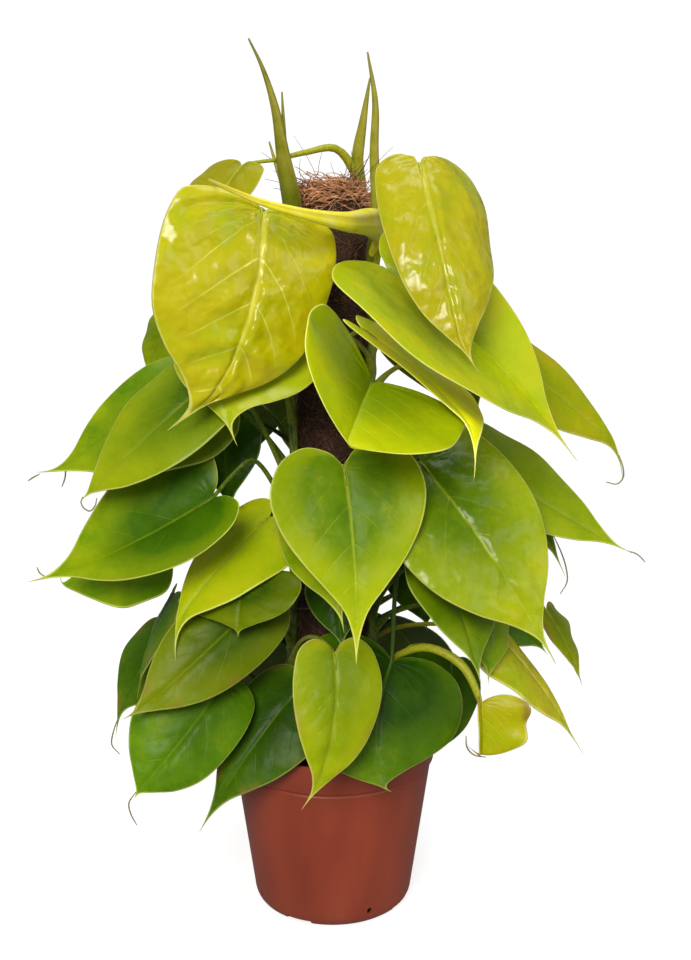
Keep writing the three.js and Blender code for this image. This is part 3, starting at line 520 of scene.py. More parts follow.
def blade_material(name, under, gloss, pucker):
    """Waxy philodendron blade. The upper skin is smooth and glossy, green at the midrib and
    clearing to neon at the margin, with a pale translucent rim; the lower skin is duller and
    shows the veins as ribs. Young skin shines and puckers, by so many mm, more than old."""
    material, add, where, blade, rim, tone, wear = blank(name, *BLADE_STORES)
    (phase, across, along), (share, margin, spacing) = blade, rim
    (tint, green_core_and_shade, dim), (burn, pale, stout) = tone, wear

    # Cloudy patches about 22 mm across and flecks of 3 mm shift the colour between green and neon
    cloud = add("TexNoise", pattern(where, 22, Detail=3.0))
    drift = add("MapRange", [cloud, 0.3, 0.7, -0.15, 0.12])
    leaning = add("Math", [tint, drift], operation="ADD")
    fleck = add("TexNoise", pattern(where, 3, Detail=3.0, Roughness=0.7))
    leaning = add("Math", [fleck, 0.18, leaning], operation="MULTIPLY_ADD")
    leaning = add("Math", [leaning, 0.09], operation="SUBTRACT")

    # The green middle: strongest at the midrib and the base, weaker at the margin, none at the tip. On some
    # leaves it is made stronger to paint the shade that falls on their upper part.
    inward = add("MapRange", [share, 0.1, 0.95, 1.0, 0.35], **SOFT)
    basal = add("MapRange", [along, 0.15, 0.8, 1.0, 0.0], **SOFT)
    green = add("Math", [inward, basal], operation="MULTIPLY")
    mottled = add("MapRange", [cloud, 0.25, 0.75, 0.5, 1.5])
    green = add("Math", [green, mottled], operation="MULTIPLY")
    green = add("Math", [green, green_core_and_shade], operation="MULTIPLY", use_clamp=True)

    clear = [(0, "355c06"), (0.3, "64900a"), (0.6, "a2b808"), (0.8, "b9c60a"), (1, "ccc40a")]
    deep = [(0, "153204"), (0.3, "2c5605"), (0.6, "4a7406"), (0.8, "6c8e07"), (1, "b2b00c")]
    ribs = [(0, "4f7a1c"), (0.3, "74961c"), (0.6, "98b014"), (0.8, "c0cc30"), (1, "e2de5a")]
    edge = [(0, "8fae54"), (0.3, "b4c85c"), (0.6, "d8e064"), (0.8, "e6e872"), (1, "f0ea7c")]
    if under:
        # The lower skin's colours are darker than a real underside's: in part painted shade, for undersides
        # seen deep between the leaves
        clear = [(0, "2c4a10"), (0.5, "6c8216"), (1, "a8a01c")]
        deep = [(0, "203a0c"), (0.5, "566e12"), (1, "98921a")]
        ribs = [(0, "54702c"), (0.5, "90a034"), (1, "c8c24c")]
    ramps = [add("ValToRGB", [leaning], stops=stops) for stops in (clear, deep, ribs, edge)]
    clear, deep, ribs, edge = ramps
    skin = add("Mix", {0: green, 6: clear, 7: deep}, data_type="RGBA")

    # Side veins: a line about 1 mm wide at each whole phase, fading out towards the margin
    near = add("Math", [phase, 0.5], operation="PINGPONG")
    gap = add("Math", [near, spacing], operation="MULTIPLY")
    line = add("MapRange", [gap, 0.2, 0.9, 1.0, 0.0], **SOFT)
    fade = add("MapRange", [share, 0.35, 0.95, 1.0, 0.0], **SOFT)
    vein = add("Math", [line, fade], operation="MULTIPLY")
    vein_mix = add("Math", [vein, pale], operation="MULTIPLY", use_clamp=True)
    skin = add("Mix", {0: vein_mix, 6: skin, 7: ribs}, data_type="RGBA")

    # Midrib: about 2 mm wide at the notch, wider on young blades, closing towards the tip
    offset = add("Math", [across], operation="ABSOLUTE")
    half = add("MapRange", [along, 0.0, 0.9, stout, 0.35])
    ratio = add("Math", [offset, half], operation="DIVIDE")
    midrib = add("MapRange", [ratio, 0.4, 1.1, 0.3 + gloss, 0.0], **SOFT)
    skin = add("Mix", {0: midrib, 6: skin, 7: ribs}, data_type="RGBA")

    # The rim: a pale line 0.7 mm wide
    rim_line = add("MapRange", [margin, 0.4, 1.0, 0.95, 0.0], **SOFT)
    skin = add("Mix", {0: rim_line, 6: skin, 7: edge}, data_type="RGBA")
    # Each leaf's own lightness scale, which also paints the light and shade that fall on that leaf as a whole
    skin = add("VectorMath", {0: skin, "Scale": dim}, operation="SCALE")

    # Dry brown patches that creep in up to 6 mm from the margin
    dry = add("MapRange", [margin, 0.3, 6.0, 1.0, 0.0], **SOFT)
    spots = add("MapRange", [cloud, 0.5, 0.62, 0.0, 1.0])
    dry = add("Math", [dry, spots], operation="MULTIPLY")
    dry = add("Math", [dry, burn], operation="MULTIPLY", use_clamp=True)
    skin = add("Mix", {0: dry, 6: skin, 7: linear("8f6c36")}, data_type="RGBA")

    # Relief: the sunken veins, a quilting 2.4 mm across between the finest ones, and pores
    quilt = add("TexVoronoi", pattern(where, 2.4))
    pores = add("TexNoise", pattern(where, 0.5, Detail=2.0))
    relief = add("Math", [quilt.outputs["Distance"], 0.5], operation="MULTIPLY")
    relief = add("Math", [pores, 0.15, relief], operation="MULTIPLY_ADD")
    relief = add("Math", [vein, 1.6 if under else -1.6, relief], operation="MULTIPLY_ADD")
    bump = add("Bump", {"Height": relief, "Distance": 0.1 * MM, "Strength": 0.5})

    # Puckers about 15 mm across
    swollen = add("TexNoise", pattern(where, 15, Detail=2.0, Roughness=0.4))
    bump = add("Bump", {"Height": swollen, "Distance": pucker * MM, "Strength": 1.0, "Normal": bump})

    least = 0.5 if under else 0.32 - 0.3 * gloss
    dull = add("MapRange", [cloud, 0.3, 0.7, least, least + 0.12])
    wires = {
        "Base Color": skin,
        "Roughness": dull,
        "Normal": bump,
        "Specular IOR Level": gloss,
        "Subsurface Weight": 0.15 + gloss,
    }
    return skinned(material, {**wires, **FLESH})


def stem_material(name, dark, light):
    """Smooth green stem: streaks along its length, a faint bloom and a few corky specks."""
    material, add, where = blank(name)
    drawn = add("Mapping", {0: where, 3: (1, 1, 0.16)})
    streak = add("TexNoise", pattern(drawn, 1.2, Detail=3.0))
    patch = add("TexNoise", pattern(where, 18, Detail=2.0))
    both = add("Math", [streak, patch], operation="MULTIPLY")
    green = add("ValToRGB", [both], stops=[(0.14, dark), (0.36, light)])
    speck = add("TexVoronoi", pattern(where, 3.2))
    cork = add("MapRange", [speck.outputs["Distance"], 0.1, 0.16, 0.6, 0.0])
    skin = add("Mix", {0: cork, 6: green, 7: linear("8a7a44")}, data_type="RGBA")
    bump = add("Bump", {"Height": streak, "Distance": 0.15 * MM, "Strength": 0.5})
    return skinned(material, {"Base Color": skin, "Normal": bump, "Roughness": 0.42, "IOR": WAXY})


def petiole_material():
    """Leaf stalk: the blade's own colour, a little greener, with fine streaks."""
    material, add, where, (tint, _, _) = blank("petiole_skin", "tone")
    streak = add("TexNoise", pattern(where, 1.6, Detail=2.0))
    drift = add("MapRange", [streak, 0.3, 0.7, -0.12, 0.12])
    leaning = add("Math", [tint, drift], operation="ADD")
    stops = [(0, "2c480c"), (0.4, "4c6c12"), (0.7, "96a21e"), (1, "c2bc28")]
    skin = add("ValToRGB", [leaning], stops=stops)
    return skinned(material, {"Base Color": skin, "Roughness": 0.4, "IOR": WAXY})


def spear_material():
    """A leaf still rolled up: yellow-green, glossy, ribbed lengthwise, with the free edge of
    the roll winding round it, pale and touched with pinkish brown."""
    material, add, where, roll, tone = blank("rolled_leaf_skin", "blade", "tone")
    (turn, seam, along), (tint, shade, _) = roll, tone
    ribs = add("Math", [turn, 14.0], operation="MULTIPLY")
    ribs = add("Math", [ribs, 0.5], operation="PINGPONG")
    cloud = add("TexNoise", pattern(where, 7, Detail=3.0))
    mixed = add("Math", [ribs, 0.2, cloud], operation="MULTIPLY_ADD")
    olive = [(0.3, "48560a"), (0.5, "687010"), (0.8, "88841e")]
    # The neon colours are lighter than the rolled leaf's own: painted light, for a roll that faces down and
    # so gets little light
    neon = [(0.3, "f0e61e"), (0.5, "fcf23c"), (0.8, "fff88c")]
    olive, neon = (add("ValToRGB", [mixed], stops=stops) for stops in (olive, neon))
    green = add("Mix", {0: tint, 6: olive, 7: neon}, data_type="RGBA")
    foot = add("MapRange", [along, 0.1, 0.45, 0.75, 0.0], **SOFT)
    foot = add("Math", [foot, shade], operation="MULTIPLY")
    green = add("Mix", {0: foot, 6: green, 7: linear("4c680e")}, data_type="RGBA")
    fringe = add("MapRange", [seam, 0.0, 0.06, 0.6, 0.0])
    skin = add("Mix", {0: fringe, 6: green, 7: linear("b09a4c")}, data_type="RGBA")
    tip = add("MapRange", [along, 0.8, 1.0, 0.0, 0.5])
    skin = add("Mix", {0: tip, 6: skin, 7: linear("7d7440")}, data_type="RGBA")
    bump = add("Bump", {"Height": ribs, "Distance": 0.15 * MM, "Strength": 0.6})
    wires = {
        "Base Color": skin,
        "Normal": bump,
        "Roughness": 0.36,
        "Specular IOR Level": 0.3,
        "Subsurface Weight": 0.15,
    }
    return skinned(material, {**wires, **FLESH})


def felt_material():
    """Coir felt: coarse coconut fibre pressed into a mat, dark and dry. Its fibres are drawn as
    crossing streaks 0.9 mm wide, coarser than real ones so that they show."""
    material, add, where = blank("coir_felt")
    layers = []
    for lean in (0.7, -0.9, 1.5):
        laid = add("Mapping", {0: where, 2: (lean, 0.4 * lean, 0.6 * lean), 3: (1, 1, 0.09)})
        layers.append(add("TexNoise", pattern(laid, 0.9, Detail=3.0, Roughness=0.6)))
    mat = add("Math", layers[:2], operation="MAXIMUM")
    mat = add("Math", [mat, layers[2]], operation="MAXIMUM")
    patch = add("TexNoise", pattern(where, 14, Detail=2.0))
    shade = add("Math", [patch, 0.3, mat], operation="MULTIPLY_ADD")
    stops = [(0.58, "22150c"), (0.74, "402c1e"), (0.86, "6a4832"), (1, "906850")]
    skin = add("ValToRGB", [shade], stops=stops)
    bump = add("Bump", {"Height": mat, "Distance": 1.2 * MM, "Strength": 0.9})
    return skinned(material, {"Base Color": skin, "Normal": bump, "Roughness": 0.92})


def fibre_material(name, stops, patch):
    """Loose dry stuff, such as coconut fibre, bark or a dead leaf tip: hardly shiny, and its
    colour drifts in patches of patch mm."""
    material, add, where = blank(name)
    tone = add("TexNoise", pattern(where, patch, Detail=4.0, Roughness=0.7))
    skin = add("ValToRGB", [tone], stops=stops)
    return skinned(material, {"Base Color": skin, "Roughness": 0.6})


def soil_material():
    """Moist potting mix: dark peat in crumbs of 3.5 mm and finer, dull, with deep gaps."""
    material, add, where = blank("potting_mix")
    crumbs = add("TexVoronoi", pattern(where, 3.5))
    dust = add("TexNoise", pattern(where, 1.1, Detail=4.0))
    tone = add("SeparateColor", [crumbs.outputs["Color"]])
    both = add("Math", [tone.outputs[0], dust], operation="MULTIPLY")
    stops = [(0.0, "140c08"), (0.3, "2c1d14"), (0.6, "55392a")]
    skin = add("ValToRGB", [both], stops=stops)
    height = add("Math", [crumbs.outputs["Distance"], -1.0, dust], operation="MULTIPLY_ADD")
    bump = add("Bump", {"Height": height, "Distance": 1.0 * MM, "Strength": 0.8})
    return skinned(material, {"Base Color": skin, "Normal": bump, "Roughness": 0.9})


def pot_material():
    """Injection-moulded polypropylene in terracotta: satin, with a fine spark-eroded grain,
    faint flow clouds and a trace of dust and lime near the foot."""
    material, add, where = blank("terracotta_polypropylene")
    flow = add("Mapping", {0: where, 3: (1, 1, 0.35)})
    cloud = add("TexNoise", pattern(flow, 26, Detail=3.0))
    skin = add("ValToRGB", [cloud], stops=[(0.3, "8c3822"), (0.7, "a04428")])
    grain = add("TexNoise", pattern(where, 0.45, Detail=2.0))
    height = add("SeparateXYZ", [where])
    low = add("MapRange", [height.outputs[2], 2 * MM, 26 * MM, 0.5, 0.0])
    dust = add("TexNoise", pattern(where, 5, Detail=5.0, Roughness=0.65))
    film = add("MapRange", [dust, 0.5, 0.75, 0.0, 1.0])
    film = add("Math", [film, low], operation="MULTIPLY")
    skin = add("Mix", {0: film, 6: skin, 7: linear("8d5a49")}, data_type="RGBA")
    bump = add("Bump", {"Height": grain, "Distance": 0.05 * MM, "Strength": 0.5})
    rough = add("MapRange", [cloud, 0.3, 0.7, 0.42, 0.52])
    return skinned(material, {"Base Color": skin, "Roughness": rough, "Normal": bump, "IOR": 1.49})


def wood_material():
    """Sawn softwood stake: straight grain about 1.5 mm apart along its length, unfinished."""
    material, add, where = blank("sawn_softwood")
    drawn = add("Mapping", {0: where, 3: (1, 1, 0.06)})
    grain = add("TexNoise", pattern(drawn, 1.5, Detail=3.0))
    skin = add("ValToRGB", [grain], stops=[(0.35, "9a7447"), (0.65, "c9a578")])
    bump = add("Bump", {"Height": grain, "Distance": 0.2 * MM, "Strength": 0.5})
    return skinned(material, {"Base Color": skin, "Normal": bump, "Roughness": 0.8})


BLADE_TOP = {
    "young": blade_material("waxy_young_blade_upper", False, 0.5, 4.5),
    "ribbed": blade_material("waxy_ribbed_blade_upper", False, 0.36, 3.0),
    "middle": blade_material("waxy_blade_upper", False, 0.2, 1.5),
    "old": blade_material("waxy_old_blade_upper", False, 0.12, 1.5),
}
BLADE_UNDER = blade_material("waxy_blade_lower", True, 0.06, 1.5)
PETIOLE = petiole_material()
SPEAR = spear_material()
STEM = stem_material("vine_stem_skin", "3c5417", "8a9a3a")
FELT = felt_material()
FIBRE = fibre_material("coconut_fibre", [(0.3, "2a170d"), (0.5, "5a3824"), (0.7, "8e6040")], 5)
SHAVING = fibre_material(
    "coconut_shaving", [(0.3, "74402a"), (0.44, "b4784e"), (0.58, "dca476"), (0.72, "f6d2a8")], 4
)
HAIR = fibre_material("dark_coconut_hair", [(0.3, "20130c"), (0.7, "5c4232")], 8)
DRY = fibre_material("dried_leaf_tip", [(0.3, "6e6a40"), (0.5, "989064"), (0.7, "b0a684")], 5)
ROOT = fibre_material("aerial_root_bark", [(0.3, "4a3520"), (0.7, "8a6b44")], 4)


# Leaves


def blade_of(leaf):
    """A function that gives a leaf's midrib frame at a share of its length, and its length."""
    base, tip = Vector(leaf["base"]), Vector(leaf["tip"])
    chord = tip - base
    length, ahead = chord.length, chord.normalized()
    faces = heading(*leaf["faces"])
    normal = (faces - ahead * faces.dot(ahead)).normalized()
    side = ahead.cross(normal)
    arch = math.radians(leaf.get("arch", 25))
    bend = length / (2 * math.sin(arch / 2))
    sweep, hook = leaf.get("sweep", 0), Vector(leaf.get("hook", (0, 0, 0)))

    def frame_at(along):
        turn = (along - 0.5) * arch
        ahead_of = max(along, 0)
        place = base + ahead * (length / 2 + bend * math.sin(turn))
        place += normal * bend * (math.cos(turn) - math.cos(arch / 2))
        place += side * sweep * 4 * along * (1 - ahead_of)
        place += hook * max(0, (along - HOOK_FROM) / (1 - HOOK_FROM)) ** 2
        tangent = ahead * math.cos(turn) - normal * math.sin(turn)
        tangent = (tangent + side * (sweep * 4 * (1 - 2 * ahead_of)) / length).normalized()
        across = tangent.cross(normal * math.cos(turn) + ahead * math.sin(turn)).normalized()
        return place, tangent, across, across.cross(tangent)

    return frame_at, length


def vein_phase(out, along, slim):
    """Counts side veins: a whole number on each. They leave the midrib at a slant and bend
    towards the tip, and behind the first one they fan out from the notch. out is the share of
    the half width, and slim the half width over the length."""
    left = along - 0.3 * out - 0.22 * out * out
    if left >= 0:
        return left * VEINS_TO_TIP
    reach = math.hypot(out * slim, along)
    return 3 * left / max(reach, 1e-6)


def walled(bm, upper, rim):
    """Gives a blade's upper skin a lower one, BLADE_THICK away and closing round the margin."""
    faces = faces_of(upper)
    edges = list({edge for face in faces for edge in face.edges})
    copy = bmesh.ops.duplicate(bm, geom=[*upper, *edges, *faces])["geom"]
    lower = [part for part in copy if isinstance(part, bmesh.types.BMVert)]
    under = [part for part in copy if isinstance(part, bmesh.types.BMFace)]
    bm.normal_update()
    for side, points in ((1, upper), (-1, lower)):
        for point in points:
            rounding = min(1, max(0, point[rim].y / BLADE_THICK))
            thick = BLADE_THICK * math.sqrt(1 - (1 - rounding) ** 2)
            point.co += point.normal * side * thick / 2 * MM
    bmesh.ops.reverse_faces(bm, faces=under)
    for face in [*faces, *under]:
        face.smooth = True
    for face in under:
        face.material_index = 1
    bmesh.ops.remove_doubles(bm, verts=[*upper, *lower], dist=MERGE)


def grow_blade(bm, leaf, layers):
    """A blade from the notch to the drip tip: a grid bent to its outline, its midrib and its
    relief, that gets its wall at the end."""
    frame_at, length = blade_of(leaf)
    blade, rim, tone, wear = layers
    half = leaf["wide"] / 2
    fold, roll = math.radians(leaf.get("fold", 0)), leaf.get("roll", 4)
    full, lobe, skew = leaf.get("full", 0.4), leaf.get("lobe", 1), leaf.get("skew", 0)
    puff, ridge, bow = leaf.get("puff", 0.35), leaf.get("ridge", 0), leaf.get("bow", 0)
    strips = len(STRIPS) - 1
    made = grid(bm, 2 * strips, BLADE_ROWS)
    for point in made:
        strip = round(point.co.x * 2 * strips) - strips
        share, sign = STRIPS[abs(strip)], (strip > 0) - (strip < 0)
        slim, wide = (outline_at(points, point.co.y) for points in (SLIM, FULL))
        out, down = (lerp(a, b, full) for a, b in zip(slim, wide))
        if down < 0:
            down *= lobe
        inner = max(0, down - SLANT * out)
        across = sign * share * out * half * (1 + sign * skew)
        along = lerp(inner, down, share)
        spread = abs(across) / half
        phase = vein_phase(spread, along, half / length)
        # The edge waves, the skin swells and crumples between the veins, and the midrib is a
        # channel, on young blades between two ridges. A bow carries the midrib sideways.
        wave = WAVE * math.sin(WAVE_PACE * along + sign + leaf["wide"]) * spread**2
        swell = puff * math.sin(math.pi * (phase % 1) ** 1.6) * ease(0, 0.2, spread) * (1 - share**4)
        crumpled = Vector((across / CREASE, along * length / CREASE, leaf["wide"]))
        crumple = puff * noise.noise(crumpled) * (1 - share**4)
        bank = ridge * math.exp(-(((abs(across) - RIDGE_OUT) / RIDGE_HALF) ** 2))
        channel = CHANNEL * math.exp(-((across / MIDRIB_HALF) ** 2)) - bank
        channel *= 1 - ease(0.7, 1, along)
        rise = abs(across) * math.sin(fold) - roll * spread**2 + wave + swell + crumple - channel
        place, _, over, up = frame_at(along)
        shift = bow * math.sin(math.pi * min(max(along, 0), 1)) * (1 - share**2)
        point.co = (place + over * (across * math.cos(fold) + shift) + up * rise) * MM
        point[blade] = (phase, across, along)
        point[rim] = (share, (1 - share) * out * half, length / VEINS_TO_TIP)
        point[tone] = (leaf["tint"], leaf["green_core_and_shade"], leaf.get("dim", 1))
        pale = leaf.get("veins", 0.08 + 0.2 * leaf["tint"] ** 3)
        point[wear] = (leaf.get("burn", 0), pale, MIDRIB_HALF + ridge)
    bmesh.ops.remove_doubles(bm, verts=made, dist=MERGE)
    walled(bm, [point for point in made if point.is_valid], rim)


def petiole_path(leaf):
    """A stalk's way: out and up from its node, then down to the notch and on under the blade."""
    frame_at, _ = blade_of(leaf)
    root = vine_point(leaf["vine"], leaf["node"])
    place, tangent, _, up = frame_at(0)
    outward = place - root
    reach = outward.length
    outward.z = 0
    outward.normalize()
    end = place - up * NOTCH_BELOW
    if "via" in leaf:
        points = [tuple(root), *leaf["via"], tuple(end)]
        stops = path_through(points, 5)
    else:
        leave = root + outward * reach * LEAVE_OUT + Vector((0, 0, reach * LEAVE_UP))
        arrive = end - (tangent + up).normalized() * reach * ARRIVE
        stops = []
        for k in range(6):
            t = k / 5
            s = 1 - t
            stops.append(root * s**3 + leave * 3 * s * s * t + arrive * 3 * s * t * t + end * t**3)
    under, _, _, up = frame_at(GRIP)
    return path_through([*stops, under - up * GRIP_BELOW], STALK_STEPS)


def grow_petiole(bm, leaf, tone):
    """A stalk in the blade's own tint, a little deeper."""

    def stamp(point, turn, share):
        point[tone] = (leaf["tint"] * 0.8 + 0.05, 0, 0)

    radii = leaf.get("stalk", STALK)
    tube(bm, petiole_path(leaf), lambda share: stations(radii, share), STALK_SIDES, 2, stamp)


def grow_leaf(leaf):
    """A blade and its stalk as one piece."""
    bm = bmesh.new()
    layers = [bm.verts.layers.float_vector.new(name) for name in BLADE_STORES]
    grow_blade(bm, leaf, layers)
    grow_petiole(bm, leaf, layers[2])
    name, age = "leaf_" + leaf["name"], leaf["age"]
    skins = [BLADE_TOP[leaf.get("skin", age)], BLADE_UNDER, PETIOLE]
    piece("fine_" + name, bm, skins, "leaf_" + age, name)


# Dried drip tips, from the end of a blade on: the depth of each, and its way across and up
DRIP_TIPS = [
    (-36, [(-159.3, 269), (-162.6, 267.3), (-166, 265.1)]),
    (-36, [(-144.9, 272.9), (-145.7, 266.7), (-147.6, 261.7)]),
    (-64, [(-131, 263), (-132.2, 260), (-130.8, 256.9), (-127.7, 255.2), (-124.9, 258), (-123.7, 262.3)]),
    (-48, [(-156.1, 214), (-159.3, 216.2), (-160.8, 219.6)]),
    (-10, [(161.6, 274), (164.2, 266.6), (164.4, 260.8), (161.2, 257.3), (154.9, 258.5)]),
    (-22, [(166, 221.6), (172, 219.4), (176.6, 214.9)]),
    (-10, [(126, 227.4), (130.9, 217.3), (134.1, 207.8), (134.9, 199.4), (131.1, 192.2)]),
    (-10, [(-125.5, 117.3), (-128.8, 108.5), (-130.3, 99), (-125.8, 93.3)]),
    (-80, [(-106.1, 102), (-110.1, 95.6), (-109.2, 89.1), (-106.2, 82.6)]),
    (-72, [(84.2, 118.9), (77.7, 120.1), (73.7, 124.7), (73.1, 131.2)]),
]
ALL_LEAVES = LEAVES + back_leaves()
for each in ALL_LEAVES:
    grow_leaf(each)


# Vines, with a swollen node under each leaf, and the spears


def grow_vine(name):
    """A vine and the rolled leaves that grow on it."""
    top = VINES[name][1]
    bm = bmesh.new()
    blade, tone = (bm.verts.layers.float_vector.new(name) for name in ("blade", "tone"))
    nodes = [each["node"] for each in ALL_LEAVES if each["vine"] == name]
    heights = [VINE_FOOT + (top - VINE_FOOT) * k / VINE_STEPS for k in range(VINE_STEPS + 1)]
    path = [vine_point(name, height) for height in heights]

    def radius_of(share):
        height = lerp(VINE_FOOT, top, share)
        swollen = sum(math.exp(-(((height - node) / NODE_HALF) ** 2)) for node in nodes)
        return lerp(VINE_RADIUS, VINE_TIP_RADIUS, share) * (1 + NODE_SWELL * min(swollen, 1))

    tube(bm, path, radius_of, VINE_SIDES)
    for vine, points, radii, tint, twist in SPEARS:
        if vine == name:

            def roll_of(turn, share):
                wound = (turn + twist * share) % 1
                if wound > ROLL_STEP:
                    wound = ROLL_STEP * (1 - wound) / (1 - ROLL_STEP)
                return 1 + ROLL_DEPTH * (0.5 - wound)

            def stamp(point, turn, share):
                wound = (turn + twist * share) % 1
                point[blade] = (turn, min(wound, 1 - wound), share)
                point[tone] = (tint, 1 - tint, 0)

            path = path_through(points, ROLL_STEPS)
            tube(bm, path, lambda share: stations(radii, share), ROLL_SIDES, 1, stamp, roll_of)
    piece("fine_vine_" + name, bm, [STEM, SPEAR], "vine_stem", "vine_" + name)


for each in VINES:
    grow_vine(each)


# Coir pole: the felt, and the fibres that have worked loose from it


def grow_felt():
    """The pole's sleeve of felted coir: a lathe whose skin rises and sinks in tufts."""
    profile = [(0, POLE_FOOT), (POLE_RADIUS, POLE_FOOT)]
    profile += [(POLE_RADIUS, lerp(POLE_FOOT, FELT_EDGE, k / FELT_RINGS)) for k in range(1, FELT_RINGS + 1)]
    for k in range(1, 13):
        turn = math.radians(90 * k / 12)
        profile.append((POLE_RADIUS * math.cos(turn) ** 0.6, FELT_EDGE + FELT_ROUND * math.sin(turn)))

    def tufts(spot, radius):
        if radius == 0:
            return Vector()
        tuft = lumps(spot, TUFTS)
        lift = Vector((spot.x, spot.y, 0)) / radius * FELT_TUFT * (tuft - 1)
        lift.z = CROWN_TUFT * tuft if spot.z > POLE_SHOULDER else 0
        return lift

    piece("fine_pole_coir", smoothed(lathe(profile, FELT_SIDES, tufts)), [FELT], "coir_fibre", "pole_coir")


def strands(name, material, slot, lines, thick):
    """Thin strands, each a line of points that tapers at both ends, as one mesh."""
    curve = bpy.data.curves.new(name, "CURVE")
    curve.dimensions = "3D"
    curve.bevel_depth = thick * MM
    curve.bevel_resolution = 0
    curve.use_fill_caps = True
    for points in lines:
        line = curve.splines.new("POLY")
        line.points.add(len(points) - 1)
        for k, point in enumerate(points):
            share = k / (len(points) - 1)
            line.points[k].co = (*(Vector(point) * MM), 1)
            line.points[k].radius = 0.35 + 0.65 * math.sin(math.pi * min(max(share, 0.05), 0.95)) ** 0.5
    holder = placed(name + "_lines", curve)
    mesh = applied(holder)
    bpy.data.objects.remove(holder)
    bm = bmesh.new()
    bm.from_mesh(mesh)
    bpy.data.meshes.remove(mesh)
    for face in bm.faces:
        face.material_index = 0
    piece(name, smoothed(bm), [material], slot)


def side_fibre(rng):
    """A fibre that lies along the felt, bowed off it a little."""
    turn, height = rng.uniform(0, 360), rng.uniform(SOIL_TOP, POLE_SHOULDER)
    slope = rng.gauss(0, 1)
    long = rng.uniform(12, 46)
    lift = rng.uniform(0.2, 1.9)
    bow = rng.uniform(-16, 16)
    points = []
    for k in range(8):
        t = k / 7
        run = (t - 0.5) * long
        azimuth = turn + math.degrees(run * math.cos(slope) / POLE_RADIUS) + bow * t * (1 - t)
        z = height + run * math.sin(slope)
        out = POLE_RADIUS - FELT_TUFT + lift * math.sin(math.pi * t) + rng.uniform(-0.15, 0.15)
        if z > POLE_SHOULDER:
            out -= (z - POLE_SHOULDER) * 0.5
        points.append(tuple(heading(azimuth) * out + Vector((0, 0, z))))
    return points


def crown_fibre(rng, low, high, curl):
    """A fibre curled up in the nest on top of the pole, with a bend of low to high mm and a
    turn of up to curl degrees."""
    away, turn = NEST_RADIUS * math.sqrt(rng.random()), rng.uniform(0, 360)
    middle = heading(turn) * away
    spin = rng.uniform(0, 360)
    sweep = rng.uniform(60, curl)
    reach = rng.uniform(low, high)
    tilt = rng.uniform(-0.6, 0.6)
    base = POLE_TOP - 9 - 0.02 * away**2 + rng.uniform(-3, 6)
    points = []
    for k in range(9):
        t = k / 8
        angle = spin + sweep * (t - 0.5)
        arm = heading(angle) * reach
        centre = middle - heading(spin) * reach * 0.75
        spot = centre + arm
        spot.z = base + tilt * arm.dot(heading(spin + 90)) + 1.6 * math.sin(5 * t + spin)
        flat = math.hypot(spot.x, spot.y)
        if flat > NEST_EDGE:
            spot.x *= NEST_EDGE / flat
            spot.y *= NEST_EDGE / flat
            spot.z -= (flat - NEST_EDGE) * 0.7
        points.append(tuple(spot))
    return points


def stray_hair(rng):
    """A long thin hair that stands off the crown."""
    turn = rng.uniform(0, 360)
    start = heading(turn) * rng.uniform(6, 19)
    start.z = POLE_TOP - rng.uniform(4, 12)
    way = heading(turn + rng.uniform(-50, 50)) * rng.uniform(0.3, 1)
    way.z = rng.uniform(0.1, 1)
    way.normalize()
    bend = Vector((rng.uniform(-1, 1), rng.uniform(-1, 1), rng.uniform(-0.8, 0.6)))
    long = rng.uniform(12, 34)
    return [tuple(start + way * long * t + bend * long * 0.35 * t * t) for t in (k / 7 for k in range(8))]


def aerial_root(rng, vine, node):
    """A short root from a node of a vine, round the pole and into the felt."""
    start = vine_point(vine, node + rng.uniform(-4, 2))
    azimuth = math.degrees(math.atan2(start.x, -start.y))
    side = rng.choice((-1, 1))
    drop = rng.uniform(-9, 3)
    points = []
    for k in range(7):
        t = k / 6
        out = lerp(math.hypot(start.x, start.y), POLE_RADIUS - 1.5, ease(0, 1, t))
        spot = heading(azimuth + side * 34 * t) * out
        spot.z = start.z + drop * t
        points.append(tuple(spot))
    return points


grow_felt()
rng = random.Random(11)
strands("coir_side_fibres", FIBRE, "coir_fibre", [side_fibre(rng) for _ in range(1300)], 0.24)
strands("coir_crown_fibres", SHAVING, "coir_fibre", [crown_fibre(rng, 5, 17, 210) for _ in range(620)], 0.3)
shavings = [crown_fibre(rng, 2.5, 8, 330) for _ in range(240)]
strands("coir_crown_shavings", SHAVING, "coir_fibre", shavings, 0.8)
strands("coir_stray_hairs", HAIR, "coir_fibre", [stray_hair(rng) for _ in range(46)], 0.16)
roots = [aerial_root(rng, each["vine"], each["node"]) for each in ALL_LEAVES for _ in range(2)]
strands("aerial_roots", ROOT, "vine_stem", roots, 0.75)
tips = [path_through([(x, depth, z) for x, z in way], 14) for depth, way in DRIP_TIPS]
strands("dry_drip_tips", DRY, "leaf_old", tips, 0.45)


# Soil


def grow_soil():
    """The soil as it fills the pot, with a lumpy top."""
    wall = [(0, 4.3), (38, 4.3), (46, 10), (SOIL_RADIUS - 0.6, 87)]
    top = [(SOIL_RADIUS - 0.3 - 0.9 * k, SOIL_TOP + 1) for k in range(60)]
    profile = [*wall, *top, (0, SOIL_TOP + 1)]

    def heaps(spot, radius):
        if spot.z < 90 or radius == 0:
            return Vector()
        return Vector((0, 0, lumps(spot, HEAPS)))

    piece("fine_soil", lathe(profile, SOIL_SIDES, heaps), [soil_material()], "potting_soil", "soil")


